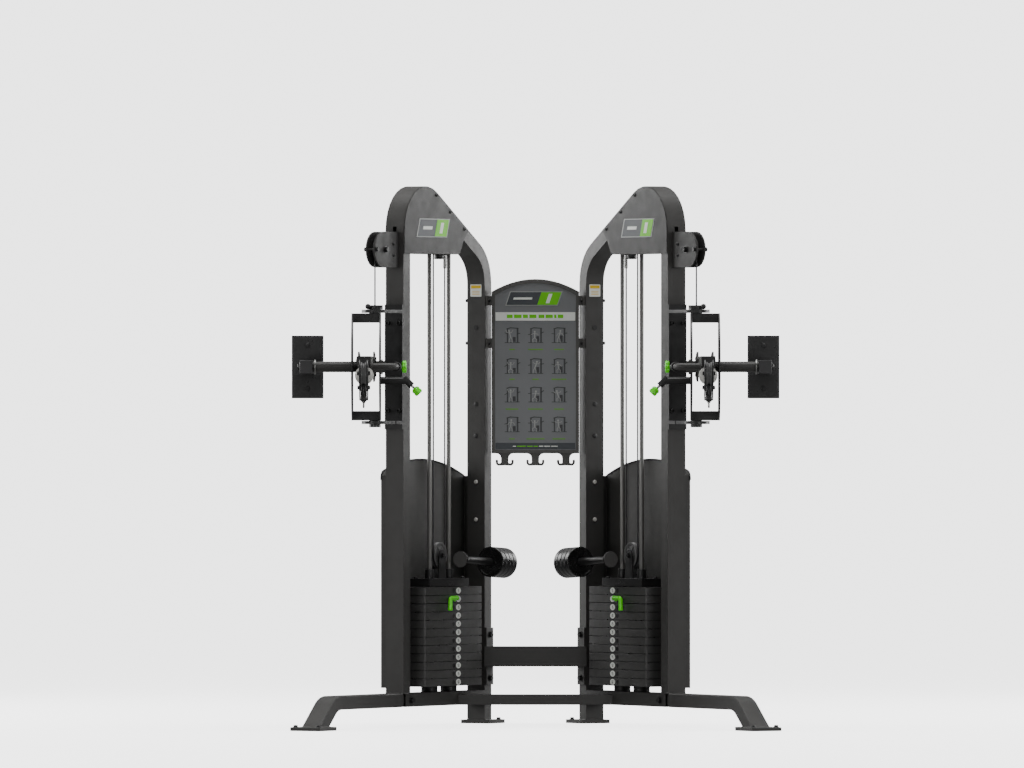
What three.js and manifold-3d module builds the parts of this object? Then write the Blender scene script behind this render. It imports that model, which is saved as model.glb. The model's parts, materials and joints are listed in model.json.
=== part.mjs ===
// Dual-arm functional trainer: two angled towers, each with its own weight stack and swivelling arm.
// Millimetres, +Z up, floor at z = 0, origin on the floor under the middle of the machine.
// The user stands on the -Y side. The left half is built once and mirrored for the right half.
//
// Each tower is drawn in its own frame: x runs outward and forward in the tower's plane with the
// outer post at x = 0, y runs inward and forward across the tower's plane, z is up.
// The arm parts are drawn in the arm frame: x runs towards the machine's middle from the swivel
// axis, -y is forward, z is up from the hub's height.
import * as THREE from "three";
import { mergeVertices } from "three/addons/utils/BufferGeometryUtils.js";
import Module from "manifold-3d";

const wasm = await Module();
wasm.setup();

// ---- driving dimensions ----
const GAP = 0.3;

const TOWER_HEIGHT = 2032;
const TOWER_X = -516;
const TOWER_TURN = THREE.MathUtils.degToRad(241);
const POST_SPACING = 626;
const TUBE_WIDE = 76;
const TUBE_DEEP = 52;
const TUBE_WALL = 3;
const BEND = 144;
const DIAGONAL_RISE = THREE.MathUtils.degToRad(30);

const RAIL_LOW = 75;
const RAIL_HIGH = 126;
const RAIL_END = 7;
const LEG_REACH = 620;
const LEG_BEND = 90;
const LEG_DROP = THREE.MathUtils.degToRad(42);
const FOOT_X = 637;
const FOOT_THICK = 14;
const REAR_FOOT = 122;
const REAR_FOOT_BEHIND = 28;
const FRONT_FOOT = 128;

const STACK_X = -314;
const STACK_LONG = 437;
const STACK_DEEP = 129;
const PLATE_PITCH = 31.3;
const PLATE_GROOVE = 1.5;
const PLATE_COUNT = 12;
const LIFTED_COUNT = 2;
const STACK_LOW = 148;
const ROD_OFFSET = 74;
const ROD_RADIUS = 8;
const ROD_TOP = 1788;
const STEM_RADIUS = 13;
const PIN_RADIUS = 5;

const CABLE_RADIUS = 3;
const WRAP_RADIUS = 44;
const PULLEY_RADIUS = 49;
const STACK_PULLEY_Z = 640;
const INNER_PULLEY_Z = 1842;
const OUTER_PULLEY_Z = 1789;
const AXLE_RADIUS = 6;

const COVER_LOW = 1775;
const COVER_SHEET = 3;
const COVER_REAR = -400;

const SWIVEL_DISTANCE = 175;
const HUB_Z = 1350;
const TILT_REACH = 50;
const INDEX_RADIUS = 195;
const INDEX_HOLES_RADIUS = 169;
const INDEX_STEP = 10;
const INDEX_LIMIT = 70;
const INNER_PLATE_X = 17;
const OUTER_PLATE_X = -87;
const SIDE_PLATE = 6;
const BLOCK_LOW = 165;
const BLOCK_HIGH = 200;
const TRUNNION_RADIUS = 22;
const SHELF_CLEAR = 2;
const SHELF_THICK = 12;
const SHAFT_RADIUS = 20;

const ARM_X = -29;
const ARM_WIDE = 51;
const ARM_HIGH = 76;
const ARM_LENGTH = 1039;
const NOTCH_LENGTH = 147;
const SLEEVE_RADIUS = 32.5;
const SLEEVE_Z = -33;
const HEAD_PULLEY_RADIUS = 42;
const FAR_PULLEY = [-1190, -25];
const NEAR_PULLEY = [-1102, -77];
const GRIP_X = 86;

const HORN_Y = 140;
const HORN_Z = 606;
const HORN_RISE = THREE.MathUtils.degToRad(3);
const HORN_LENGTH = 400;
const DISC_RADIUS = 57.5;
const DISC_THICK = 28;
const DISC_COUNT = 4;
const DISC_START = 58;

const FRAME_GREY = { color: 0x4a4947, roughness: 0.5, metalness: 0.3 };
const PANEL_GREY = { color: 0x6b6c6e, roughness: 0.55, metalness: 0.2 };
const DARK_STEEL = { color: 0x2a2a2a, roughness: 0.5, metalness: 0.4 };
const BLACK_IRON = { color: 0x1c1c1d, roughness: 0.65, metalness: 0.3 };
const CHROME = { color: 0xc8c8c6, roughness: 0.2, metalness: 1.0 };
const RUBBER = { color: 0x151515, roughness: 0.9, metalness: 0.0 };
const GREEN = { color: 0x5fc31c, roughness: 0.4, metalness: 0.0 };
const NYLON = { color: 0x8f8f8d, roughness: 0.45, metalness: 0.1 };
const CABLE = { color: 0x3c3d3d, roughness: 0.6, metalness: 0.2 };
const SLATE = { color: 0x5a5c5f, roughness: 0.6, metalness: 0.0 };

// ---- solids ----
function solidOf(geometry) {
  const bare = geometry.index ? geometry.toNonIndexed() : geometry;
  bare.deleteAttribute("normal");
  bare.deleteAttribute("uv");
  const merged = mergeVertices(bare, 1e-4);
  return new wasm.Manifold(
    new wasm.Mesh({
      numProp: 3,
      vertProperties: merged.attributes.position.array,
      triVerts: new Uint32Array(merged.index.array),
    }),
  );
}

function meshOf(name, solid, finish) {
  const data = solid.getMesh();
  const geometry = new THREE.BufferGeometry();
  geometry.setAttribute("position", new THREE.BufferAttribute(data.vertProperties, 3));
  geometry.setIndex(new THREE.BufferAttribute(data.triVerts, 1));
  geometry.computeVertexNormals();
  const mesh = new THREE.Mesh(geometry, new THREE.MeshStandardMaterial(finish));
  mesh.name = name;
  return mesh;
}

function join(solids) {
  return solids.reduce((whole, next) => whole.add(next));
}

function cut(solid, tools) {
  return tools.reduce((left, tool) => left.subtract(tool), solid);
}

function block(low, high, placement = new THREE.Matrix4()) {
  const size = high.map((value, i) => value - low[i]);
  const middle = high.map((value, i) => (value + low[i]) / 2);
  const geometry = new THREE.BoxGeometry(...size).translate(...middle);
  return solidOf(geometry.applyMatrix4(placement));
}

// A round bar from one point to another, tapering when a second radius is given.
function bar(from, to, radius, sides = 12, endRadius = radius) {
  const start = new THREE.Vector3(...from);
  const along = new THREE.Vector3(...to).sub(start);
  const geometry = new THREE.CylinderGeometry(endRadius, radius, along.length(), sides);
  geometry.translate(0, along.length() / 2, 0);
  const turn = new THREE.Quaternion().setFromUnitVectors(
    new THREE.Vector3(0, 1, 0),
    along.normalize(),
  );
  geometry.applyQuaternion(turn);
  return solidOf(geometry.translate(...start.toArray()));
}

// A flat outline drawn in (x, z), thick along y.
function slabAcrossY(shape, yLow, yHigh) {
  const options = { depth: yHigh - yLow, bevelEnabled: false, curveSegments: 5 };
  const geometry = new THREE.ExtrudeGeometry(shape, options);
  return solidOf(geometry.rotateX(Math.PI / 2).translate(0, yHigh, 0));
}

// A flat outline drawn in (y, z), thick along x.
function slabAcrossX(shape, xLow, xHigh) {
  const options = { depth: xHigh - xLow, bevelEnabled: false, curveSegments: 5 };
  const geometry = new THREE.ExtrudeGeometry(shape, options);
  const turn = new THREE.Matrix4().makeBasis(
    new THREE.Vector3(0, 1, 0),
    new THREE.Vector3(0, 0, 1),
    new THREE.Vector3(1, 0, 0),
  );
  return solidOf(geometry.applyMatrix4(turn).translate(xLow, 0, 0));
}

// A flat outline drawn in (x, y), thick along z.
function slabAcrossZ(shape, zLow, zHigh) {
  const options = { depth: zHigh - zLow, bevelEnabled: false, curveSegments: 5 };
  return solidOf(new THREE.ExtrudeGeometry(shape, options).translate(0, 0, zLow));
}

// Points of a shallow arch from one end to the other, as high as the crown at its middle.
function archPoints([a0, z0], [a1, z1], crown, steps) {
  const control = 2 * crown - (z0 + z1) / 2;
  const points = [];
  for (let step = 0; step <= steps; step += 1) {
    const t = step / steps;
    const z = (1 - t) ** 2 * z0 + 2 * t * (1 - t) * control + t ** 2 * z1;
    points.push([a0 + (a1 - a0) * t, z]);
  }
  return points;
}

function outline(points) {
  return new THREE.Shape(points.map(([a, b]) => new THREE.Vector2(a, b)));
}

// The points of a path through corners, each inner corner rounded to the given radius,
// as [point, unit tangent] pairs.
function roundedPath(corners, radius, stepsPerBend) {
  const points = corners.map(([a, b]) => new THREE.Vector2(a, b));
  const path = [];
  const last = points.length - 1;
  const heading = (i) => points[i + 1].clone().sub(points[i]).normalize();
  path.push([points[0], heading(0)]);
  for (let i = 1; i < last; i += 1) {
    const before = heading(i - 1);
    const after = heading(i);
    const turn = Math.atan2(before.cross(after), before.dot(after));
    const side = Math.sign(turn);
    const setback = radius * Math.tan(Math.abs(turn) / 2);
    const start = points[i].clone().addScaledVector(before, -setback);
    const normal = new THREE.Vector2(-before.y, before.x).multiplyScalar(side);
    const centre = start.clone().addScaledVector(normal, radius);
    for (let step = 0; step <= stepsPerBend; step += 1) {
      const angle = (turn * step) / stepsPerBend;
      const point = start.clone().rotateAround(centre, angle);
      path.push([point, before.clone().rotateAround(new THREE.Vector2(), angle)]);
    }
  }
  path.push([points[last], heading(last - 1)]);
  return path;
}

// The outline of a band of even width that follows a rounded path.
function band(corners, radius, halfWidth, stepsPerBend = 6) {
  const path = roundedPath(corners, radius, stepsPerBend);
  const offset = ([point, tangent], side) => [
    point.x - tangent.y * side * halfWidth,
    point.y + tangent.x * side * halfWidth,
  ];
  const left = path.map((entry) => offset(entry, 1));
  const right = path.map((entry) => offset(entry, -1));
  return outline([...left, ...right.reverse()]);
}

// A curve through listed points, met exactly at even steps.
class Route extends THREE.Curve {
  constructor(points) {
    super();
    this.points = points;
  }
  getPoint(t, target = new THREE.Vector3()) {
    const place = THREE.MathUtils.clamp(t, 0, 1) * (this.points.length - 1);
    const i = Math.min(Math.floor(place), this.points.length - 2);
    return target.lerpVectors(this.points[i], this.points[i + 1], place - i);
  }
  getPointAt(t, target) {
    return this.getPoint(t, target);
  }
  getTangentAt(t, target) {
    return this.getTangent(t, target);
  }
}

function tube(points, radius, sides = 8) {
  const section = new THREE.Shape().absarc(0, 0, radius, 0, Math.PI * 2);
  const options = {
    steps: points.length - 1,
    curveSegments: sides / 2,
    bevelEnabled: false,
    extrudePath: new Route(points),
  };
  return solidOf(new THREE.ExtrudeGeometry(section, options));
}

// Points on an arc in a plane, from one angle to another, mapped by place(a, b).
function arcPoints([a, b], radius, from, to, steps, place) {
  const points = [];
  for (let step = 0; step <= steps; step += 1) {
    const angle = from + ((to - from) * step) / steps;
    points.push(place(a + radius * Math.cos(angle), b + radius * Math.sin(angle)));
  }
  return points;
}

// A grooved cable pulley about the y axis of its own frame.
function pulley(radius, grooveRadius, halfWidth, bore) {
  const lip = 2.5;
  const profile = [
    [bore, -halfWidth],
    [radius, -halfWidth],
    [radius, -halfWidth + lip],
    [grooveRadius, -CABLE_RADIUS - 0.4],
    [grooveRadius, CABLE_RADIUS + 0.4],
    [radius, halfWidth - lip],
    [radius, halfWidth],
    [bore, halfWidth],
    [bore, -halfWidth],
  ];
  const geometry = new THREE.LatheGeometry(
    profile.map(([r, y]) => new THREE.Vector2(r, y)),
    16,
  );
  return solidOf(geometry);
}

function movedMesh(name, solid, finish, position) {
  const mesh = meshOf(name, solid, finish);
  mesh.position.set(...position);
  return mesh;
}

// ---- tower ----
const POST_TOP = TOWER_HEIGHT - BEND - TUBE_DEEP / 2;
const OUTER_CORNER_Z = POST_TOP + BEND * Math.tan((Math.PI / 2 + DIAGONAL_RISE) / 2);
const INNER_CORNER_Z = OUTER_CORNER_Z - POST_SPACING * Math.tan(DIAGONAL_RISE);
const HALF_WIDE = TUBE_WIDE / 2;
const HALF_DEEP = TUBE_DEEP / 2;
const REAR_FOOT_X = -POST_SPACING - REAR_FOOT_BEHIND;

function towerCorners(rearLow, frontLow) {
  return [
    [-POST_SPACING, rearLow],
    [-POST_SPACING, INNER_CORNER_Z],
    [0, OUTER_CORNER_Z],
    [0, frontLow],
  ];
}

// A point on the storage horn's axis, a distance along from its elbow.
function hornPoint(t) {
  return [-POST_SPACING + t * Math.cos(HORN_RISE), HORN_Y, HORN_Z + t * Math.sin(HORN_RISE)];
}

// Storage horn: out from the rear post, round an elbow, then along the stack and slightly up.
function storageHorn() {
  const elbow = new THREE.Vector3(-POST_SPACING, HORN_Y, HORN_Z);
  return join([
    bar([-POST_SPACING, HALF_WIDE - 1, HORN_Z], [-POST_SPACING, HORN_Y, HORN_Z], 16),
    solidOf(new THREE.SphereGeometry(16, 10, 6).translate(...elbow.toArray())),
    bar(hornPoint(0), hornPoint(HORN_LENGTH), 16, 12, 11),
    bar(hornPoint(DISC_START - 6), hornPoint(DISC_START), 32, 16),
    bar(hornPoint(HORN_LENGTH - 6), hornPoint(HORN_LENGTH), 30, 16),
    block(
      [-POST_SPACING - HALF_DEEP + 2, HALF_WIDE - 1, HORN_Z - 40],
      [-POST_SPACING + HALF_DEEP - 2, HALF_WIDE + 6, HORN_Z + 40],
    ),
  ]);
}

// The two posts and the sloping top, bent from one tube, welded to the base rail.
function towerFrame() {
  const halfInside = HALF_WIDE - TUBE_WALL;
  const railRear = -POST_SPACING - HALF_DEEP;
  const bow = band(towerCorners(FOOT_THICK - 1, RAIL_HIGH - 1), BEND, HALF_DEEP);
  const whole = join([
    slabAcrossY(bow, -HALF_WIDE, HALF_WIDE),
    block([railRear, -HALF_WIDE, RAIL_LOW], [RAIL_END, HALF_WIDE, RAIL_HIGH]),
    block(
      [REAR_FOOT_X - REAR_FOOT / 2, -REAR_FOOT / 2, 0],
      [REAR_FOOT_X + REAR_FOOT / 2, REAR_FOOT / 2, FOOT_THICK],
    ),
    storageHorn(),
  ]);
  const hollow = slabAcrossY(
    band(towerCorners(FOOT_THICK + 7, RAIL_HIGH + 3), BEND, HALF_DEEP - TUBE_WALL),
    -halfInside,
    halfInside,
  );
  const railHollow = block(
    [-POST_SPACING + HALF_DEEP, -halfInside, RAIL_LOW + TUBE_WALL],
    [RAIL_END + 1, halfInside, RAIL_HIGH - TUBE_WALL],
  );
  const cableSlot = block([-HALF_DEEP - 5, -8, 1830], [HALF_DEEP + 5, 8, 1876]);
  return cut(whole, [hollow, railHollow, cableSlot]);
}

// The front leg: joined to the rail's end by a recessed neck, level, then bent down to its foot.
function frontLeg() {
  const level = (RAIL_LOW + RAIL_HIGH) / 2;
  const half = (RAIL_HIGH - RAIL_LOW) / 2;
  const start = HALF_DEEP + GAP;
  const slope = Math.tan(LEG_DROP);
  const corners = (x, overrun) => [
    [x, level],
    [LEG_REACH - (level - FOOT_THICK) / slope, level],
    [LEG_REACH + overrun / slope, FOOT_THICK - overrun],
  ];
  const inside = HALF_WIDE - TUBE_WALL;
  const recess = 6;
  const outer = slabAcrossY(band(corners(start, 30), LEG_BEND, half, 8), -HALF_WIDE, HALF_WIDE);
  const hollow = slabAcrossY(
    band(corners(start - 5, -8), LEG_BEND, half - TUBE_WALL, 8),
    -inside,
    inside,
  );
  const neck = block(
    [RAIL_END + GAP, -HALF_WIDE + recess, RAIL_LOW + recess],
    [start + 4, HALF_WIDE - recess, RAIL_HIGH - recess],
  );
  const endPlate = block(
    [start, -HALF_WIDE, RAIL_LOW],
    [start + 6, HALF_WIDE, RAIL_HIGH],
  );
  const neckHollow = block(
    [RAIL_END - 5, -HALF_WIDE + 2 * recess, RAIL_LOW + 2 * recess],
    [start + 20, HALF_WIDE - 2 * recess, RAIL_HIGH - 2 * recess],
  );
  const underfloor = block([400, -100, -100], [800, 100, 1]);
  const foot = block(
    [FOOT_X - FRONT_FOOT / 2, -FRONT_FOOT / 2, 0],
    [FOOT_X + FRONT_FOOT / 2, FRONT_FOOT / 2, FOOT_THICK],
  );
  const leg = cut(outer, [underfloor, hollow]);
  return join([leg, neck, endPlate, foot]).subtract(neckHollow);
}

// Folded sheet over the pulley space under the sloping top, with the inner pulley's axle.
function topCover() {
  const inset = 3;
  const rise = Math.tan(DIAGONAL_RISE);
  const edgeZ = (x) => OUTER_CORNER_Z + x * rise + HALF_DEEP / Math.cos(DIAGONAL_RISE) - inset;
  const bendX = -BEND;
  const bendOuter = BEND + HALF_DEEP - inset;
  const side = new THREE.Shape();
  side.moveTo(COVER_REAR, COVER_LOW);
  side.lineTo(HALF_DEEP - inset, COVER_LOW);
  side.lineTo(HALF_DEEP - inset, POST_TOP);
  side.absarc(bendX, POST_TOP, bendOuter, 0, Math.PI / 2 + DIAGONAL_RISE, false);
  side.lineTo(-470, edgeZ(-470));
  side.lineTo(-430, 1825);
  side.closePath();
  const near = HALF_WIDE + GAP;
  const far = near + COVER_SHEET;
  const axleX = STACK_X + 2 * WRAP_RADIUS;
  const floor = block([COVER_REAR, -far, COVER_LOW], [-HALF_DEEP - GAP, far, COVER_LOW + COVER_SHEET]);
  const holes = [-ROD_OFFSET, ROD_OFFSET].map((x) =>
    bar([STACK_X + x, 0, COVER_LOW - 5], [STACK_X + x, 0, COVER_LOW + 9], ROD_RADIUS + 1),
  );
  const cableHoles = [-WRAP_RADIUS, WRAP_RADIUS].map((x) =>
    bar([STACK_X + x, 0, COVER_LOW - 5], [STACK_X + x, 0, COVER_LOW + 9], 8),
  );
  const stopHole = bar([STACK_X, 0, COVER_LOW - 5], [STACK_X, 0, COVER_LOW + 9], 20);
  return cut(
    join([
      slabAcrossY(side, near, far),
      slabAcrossY(side, -far, -near),
      floor,
      bar([axleX, -near - 1, INNER_PULLEY_Z], [axleX, near + 1, INNER_PULLEY_Z], AXLE_RADIUS),
    ]),
    [...holes, ...cableHoles, stopHole],
  );
}

// Steel plate that holds the rods' tops, the cable's fixed end and the rubber stop.
function rodHeadPlate() {
  const low = COVER_LOW + COVER_SHEET + GAP;
  const high = low + 12;
  const plate = join([
    block([STACK_X - 91, -HALF_WIDE + 1, low], [STACK_X + 86, HALF_WIDE - 1, high]),
    bar([STACK_X, 0, 1757], [STACK_X, 0, low + 1], 18, 20),
    bar([STACK_X - WRAP_RADIUS, 0, 1770], [STACK_X - WRAP_RADIUS, 0, low + 1], 7, 12),
  ]);
  const rodHoles = [-ROD_OFFSET, ROD_OFFSET].map((x) =>
    bar([STACK_X + x, 0, low - 5], [STACK_X + x, 0, high + 5], ROD_RADIUS + 0.4),
  );
  const cableHole = bar([STACK_X + WRAP_RADIUS, 0, low - 5], [STACK_X + WRAP_RADIUS, 0, high + 5], 6, 12);
  return cut(plate, [...rodHoles, cableHole]);
}

// Guide rod with the rubber cushion that the stack rests on.
function guideRod(x) {
  return join([
    bar([x, 0, RAIL_HIGH + GAP], [x, 0, ROD_TOP], ROD_RADIUS, 12),
    bar([x, 0, RAIL_HIGH + GAP], [x, 0, STACK_LOW - GAP], 31, 18),
  ]);
}

// Sheet behind the stack, across both posts, with an arched top and folded sides.
function stackShroud() {
  const front = -7;
  const rear = -645;
  const low = 145;
  const frontHigh = 958;
  const rearHigh = 940;
  const sheet = 3;
  const back = -78;
  const corner = 15;
  const face = outline([
    [rear, low],
    [front, low],
    [front, frontHigh - corner],
    ...archPoints([front - corner, frontHigh + 4], [rear, rearHigh], 1003, 12),
  ]);
  return join([
    slabAcrossY(face, back, back + sheet),
    block([front - sheet, back, low], [front, -HALF_WIDE - GAP, frontHigh - corner]),
    block([rear, back, low], [rear + sheet, -HALF_WIDE - GAP, rearHigh - 2]),
  ]);
}

// ---- weight stack ----
function stackBlock(first, count) {
  const half = [STACK_LONG / 2, STACK_DEEP / 2];
  const plates = [];
  for (let i = first; i < first + count; i += 1) {
    const low = STACK_LOW + i * PLATE_PITCH + (i === first ? GAP : 0);
    const high = STACK_LOW + (i + 1) * PLATE_PITCH - (i === first + count - 1 ? 0 : PLATE_GROOVE);
    plates.push(block([STACK_X - half[0], -half[1], low], [STACK_X + half[0], half[1], high]));
  }
  const low = STACK_LOW + first * PLATE_PITCH + GAP;
  const high = STACK_LOW + (first + count) * PLATE_PITCH;
  const core = block(
    [STACK_X - half[0] + 4, -half[1] + 4, low],
    [STACK_X + half[0] - 4, half[1] - 4, high],
  );
  const through = (x, radius) => bar([STACK_X + x, 0, low - 9], [STACK_X + x, 0, high + 9], radius);
  const pinHoles = [];
  for (let i = first; i < first + count; i += 1) {
    const z = pinHeight(i);
    pinHoles.push(bar([STACK_X, 0, z], [STACK_X, half[1] + 5, z], PIN_RADIUS + 1.2, 6));
  }
  return cut(join([...plates, core]), [
    through(-ROD_OFFSET, ROD_RADIUS + 0.8),
    through(ROD_OFFSET, ROD_RADIUS + 0.8),
    through(0, STEM_RADIUS + 1.2),
    ...pinHoles,
  ]);
}

function pinHeight(index) {
  return STACK_LOW + (index + 0.5) * PLATE_PITCH - PLATE_GROOVE / 2;
}

const STACK_TOP = STACK_LOW + PLATE_COUNT * PLATE_PITCH;
const PIN_INDEX = PLATE_COUNT - LIFTED_COUNT;

// Head plate, drilled selector stem, and the yoke of the stack's pulley.
function stackHead() {
  const top = STACK_TOP + 30;
  const yoke = new THREE.Shape();
  yoke.moveTo(STACK_X - 30, top - 1);
  yoke.lineTo(STACK_X + 30, top - 1);
  yoke.lineTo(STACK_X + 22, STACK_PULLEY_Z);
  yoke.absarc(STACK_X, STACK_PULLEY_Z, 22, 0, Math.PI, false);
  yoke.closePath();
  const whole = join([
    block([STACK_X - 150, -45, STACK_TOP + GAP], [STACK_X + 150, 45, top]),
    bar([STACK_X - ROD_OFFSET, 0, top - 1], [STACK_X - ROD_OFFSET, 0, top + 34], 16, 20),
    bar([STACK_X + ROD_OFFSET, 0, top - 1], [STACK_X + ROD_OFFSET, 0, top + 34], 16, 20),
    bar([STACK_X, 0, STACK_LOW + 12], [STACK_X, 0, STACK_TOP + 2], STEM_RADIUS),
    slabAcrossY(yoke, 10, 15),
    slabAcrossY(yoke, -15, -10),
    bar([STACK_X, -20, STACK_PULLEY_Z], [STACK_X, 20, STACK_PULLEY_Z], AXLE_RADIUS),
  ]);
  const holes = [];
  for (let i = 0; i < PLATE_COUNT; i += 1) {
    const z = pinHeight(i);
    holes.push(bar([STACK_X, -20, z], [STACK_X, 20, z], PIN_RADIUS + 1.2, 6));
  }
  const rodHoles = [-ROD_OFFSET, ROD_OFFSET].map((x) =>
    bar([STACK_X + x, 0, STACK_TOP - 9], [STACK_X + x, 0, top + 50], ROD_RADIUS + 0.5),
  );
  return cut(whole, [...holes, ...rodHoles]);
}

// Selector pin with its cranked drop grip.
function selectorPin() {
  const z = pinHeight(PIN_INDEX);
  const face = STACK_DEEP / 2;
  return join([
    bar([STACK_X, -10, z], [STACK_X, face + 12, z], PIN_RADIUS, 12),
    bar([STACK_X, face + 1, z], [STACK_X, face + 8, z], 9, 14),
    bar([STACK_X - 1, face + 15, z + 4], [STACK_X + 60, face + 15, z + 4], 9, 14),
    bar([STACK_X + 51, face + 15, z + 4], [STACK_X + 55, face + 15, z - 40], 8.5, 14, 6.5),
  ]);
}

// The add-on discs on the storage horn, as one grooved roll.
function addonDiscs() {
  const start = DISC_START + GAP;
  const end = start + DISC_COUNT * DISC_THICK;
  const rolls = [bar(hornPoint(start), hornPoint(end - 2), DISC_RADIUS - 3, 16)];
  for (let i = 0; i < DISC_COUNT; i += 1) {
    const low = start + i * DISC_THICK;
    rolls.push(bar(hornPoint(low), hornPoint(low + DISC_THICK - 2), DISC_RADIUS, 16));
  }
  return join(rolls).subtract(bar(hornPoint(start - 9), hornPoint(end + 9), 17));
}

// ---- cable and top pulleys ----
const INNER_PULLEY_X = STACK_X + 2 * WRAP_RADIUS;
const OUTER_PULLEY_X = SWIVEL_DISTANCE - WRAP_RADIUS;

// The cable: fixed end, down round the stack's pulley, over the two top pulleys, down the swivel axis.
function stackCable() {
  const place = (x, z) => new THREE.Vector3(x, 0, z);
  const slope = Math.atan2(OUTER_PULLEY_Z - INNER_PULLEY_Z, OUTER_PULLEY_X - INNER_PULLEY_X);
  const quarter = Math.PI / 2;
  const points = [
    place(STACK_X - WRAP_RADIUS, 1770 - GAP),
    ...arcPoints([STACK_X, STACK_PULLEY_Z], WRAP_RADIUS, 2 * quarter, 4 * quarter, 10, place),
    ...arcPoints([INNER_PULLEY_X, INNER_PULLEY_Z], WRAP_RADIUS, 2 * quarter, quarter + slope, 8, place),
    ...arcPoints([OUTER_PULLEY_X, OUTER_PULLEY_Z], WRAP_RADIUS, quarter + slope, 0, 8, place),
    place(SWIVEL_DISTANCE, HUB_Z + BLOCK_LOW + 10),
  ];
  return tube(points, CABLE_RADIUS);
}

// Cheeks round the outer pulley, with its axle, a cable keeper and the block on the post.
function pulleyHousing() {
  const radius = 67;
  const nose = 145;
  const back = HALF_DEEP + GAP;
  const cheek = new THREE.Shape();
  cheek.moveTo(back, OUTER_PULLEY_Z - radius);
  cheek.lineTo(nose, OUTER_PULLEY_Z - radius);
  cheek.absarc(nose, OUTER_PULLEY_Z, radius, -Math.PI / 2, Math.PI / 2, false);
  cheek.lineTo(back, OUTER_PULLEY_Z + radius);
  cheek.closePath();
  const across = (x, radiusOfPin) =>
    bar([x, -23, OUTER_PULLEY_Z], [x, 23, OUTER_PULLEY_Z], radiusOfPin);
  return join([
    slabAcrossY(cheek, 14, 20),
    slabAcrossY(cheek, -20, -14),
    block([back, -15, 1740], [76, 15, 1826]),
    across(OUTER_PULLEY_X, AXLE_RADIUS),
    across(200, 4),
  ]);
}

function topPulley() {
  return pulley(PULLEY_RADIUS, WRAP_RADIUS - CABLE_RADIUS - 1.2, 8, AXLE_RADIUS + 0.4);
}

// ---- swivel ----
// Bracket on the outer post: two shelves that hold the carriage's trunnions.
function swivelBracket() {
  const thick = SHELF_THICK;
  const nose = 50;
  const shelf = new THREE.Shape();
  shelf.moveTo(HALF_DEEP + 4, -HALF_WIDE);
  shelf.absarc(SWIVEL_DISTANCE, 0, nose, -1.7, 1.7, false);
  shelf.lineTo(HALF_DEEP + 4, HALF_WIDE);
  shelf.closePath();
  const upper = HUB_Z + BLOCK_HIGH + SHELF_CLEAR;
  const lower = HUB_Z - BLOCK_HIGH - SHELF_CLEAR;
  const base = HALF_DEEP + GAP;
  const through = (x, y, z, radius, sides) =>
    bar([x, y, z - 5], [x, y, z + thick + 5], radius, sides);
  const bores = [upper, lower - thick].map((z) =>
    through(SWIVEL_DISTANCE, 0, z, TRUNNION_RADIUS + 0.6, 18),
  );
  const detents = [];
  for (let i = -2; i <= 2; i += 1) {
    const angle = Math.PI + THREE.MathUtils.degToRad(i * 14);
    const x = SWIVEL_DISTANCE + 92 * Math.cos(angle);
    detents.push(through(x, 92 * Math.sin(angle), lower - thick, 5, 8));
  }
  return cut(
    join([
      block([base, -HALF_WIDE, lower - thick - 20], [base + 8, HALF_WIDE, upper + thick + 20]),
      slabAcrossZ(shelf, upper, upper + thick),
      slabAcrossZ(shelf, lower - thick, lower),
    ]),
    [...bores, ...detents],
  );
}

// The outline of a side plate of the carriage: an arc about the tilt axis, square behind.
function sidePlate(radius) {
  const shape = new THREE.Shape();
  const from = Math.PI - 1.32;
  shape.moveTo(30, -BLOCK_HIGH);
  shape.lineTo(30, BLOCK_HIGH);
  shape.lineTo(-60, BLOCK_HIGH);
  shape.absarc(-TILT_REACH, 0, radius, from, 2 * Math.PI - from, false);
  shape.lineTo(-60, -BLOCK_HIGH);
  shape.closePath();
  return shape;
}

function swivelCarriage() {
  const inner = slabAcrossX(sidePlate(INDEX_RADIUS), INNER_PLATE_X, INNER_PLATE_X + SIDE_PLATE);
  const outer = slabAcrossX(sidePlate(INDEX_RADIUS), OUTER_PLATE_X, OUTER_PLATE_X + SIDE_PLATE);
  const span = [OUTER_PLATE_X + 1, INNER_PLATE_X + 1];
  const collar = BLOCK_HIGH + SHELF_CLEAR + SHELF_THICK + 0.6;
  const boss = swivelPinAxis();
  const whole = join([
    inner,
    outer,
    block([span[0], -35, BLOCK_LOW], [span[1], 30, BLOCK_HIGH]),
    block([span[0], -35, -BLOCK_HIGH], [span[1], 30, -BLOCK_LOW]),
    bar([0, 0, BLOCK_HIGH - 1], [0, 0, collar + 16], TRUNNION_RADIUS, 18),
    bar([0, 0, collar], [0, 0, collar + 16], 30, 18),
    bar([0, 0, -BLOCK_HIGH - 26], [0, 0, -BLOCK_HIGH + 1], TRUNNION_RADIUS, 18),
    bar([-26, -27, collar + 11], [29, -27, collar + 11], 2.5, 8),
    solidOf(new THREE.SphereGeometry(11, 8, 6).translate(-26, -27, collar + 11)),
    bar([INNER_PLATE_X + 1, boss.y, boss.z], [boss.x, boss.y, boss.z], 14),
    bar(boss.at(-14), boss.at(28), 13),
  ]);
  const holes = [];
  for (let angle = -INDEX_LIMIT; angle <= INDEX_LIMIT; angle += INDEX_STEP) {
    const turn = THREE.MathUtils.degToRad(angle);
    const y = -TILT_REACH - INDEX_HOLES_RADIUS * Math.cos(turn);
    const z = INDEX_HOLES_RADIUS * Math.sin(turn);
    holes.push(bar([INNER_PLATE_X - 5, y, z], [INNER_PLATE_X + 12, y, z], PIN_RADIUS + 1.2, 6));
  }
  return cut(whole, [
    ...holes,
    bar([OUTER_PLATE_X - 9, -TILT_REACH, 0], [30, -TILT_REACH, 0], SHAFT_RADIUS + 0.5, 18),
    bar([0, 0, BLOCK_LOW - 9], [0, 0, collar + 30], 8),
    bar(boss.at(0), boss.at(40), 5, 12),
  ]);
}

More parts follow.
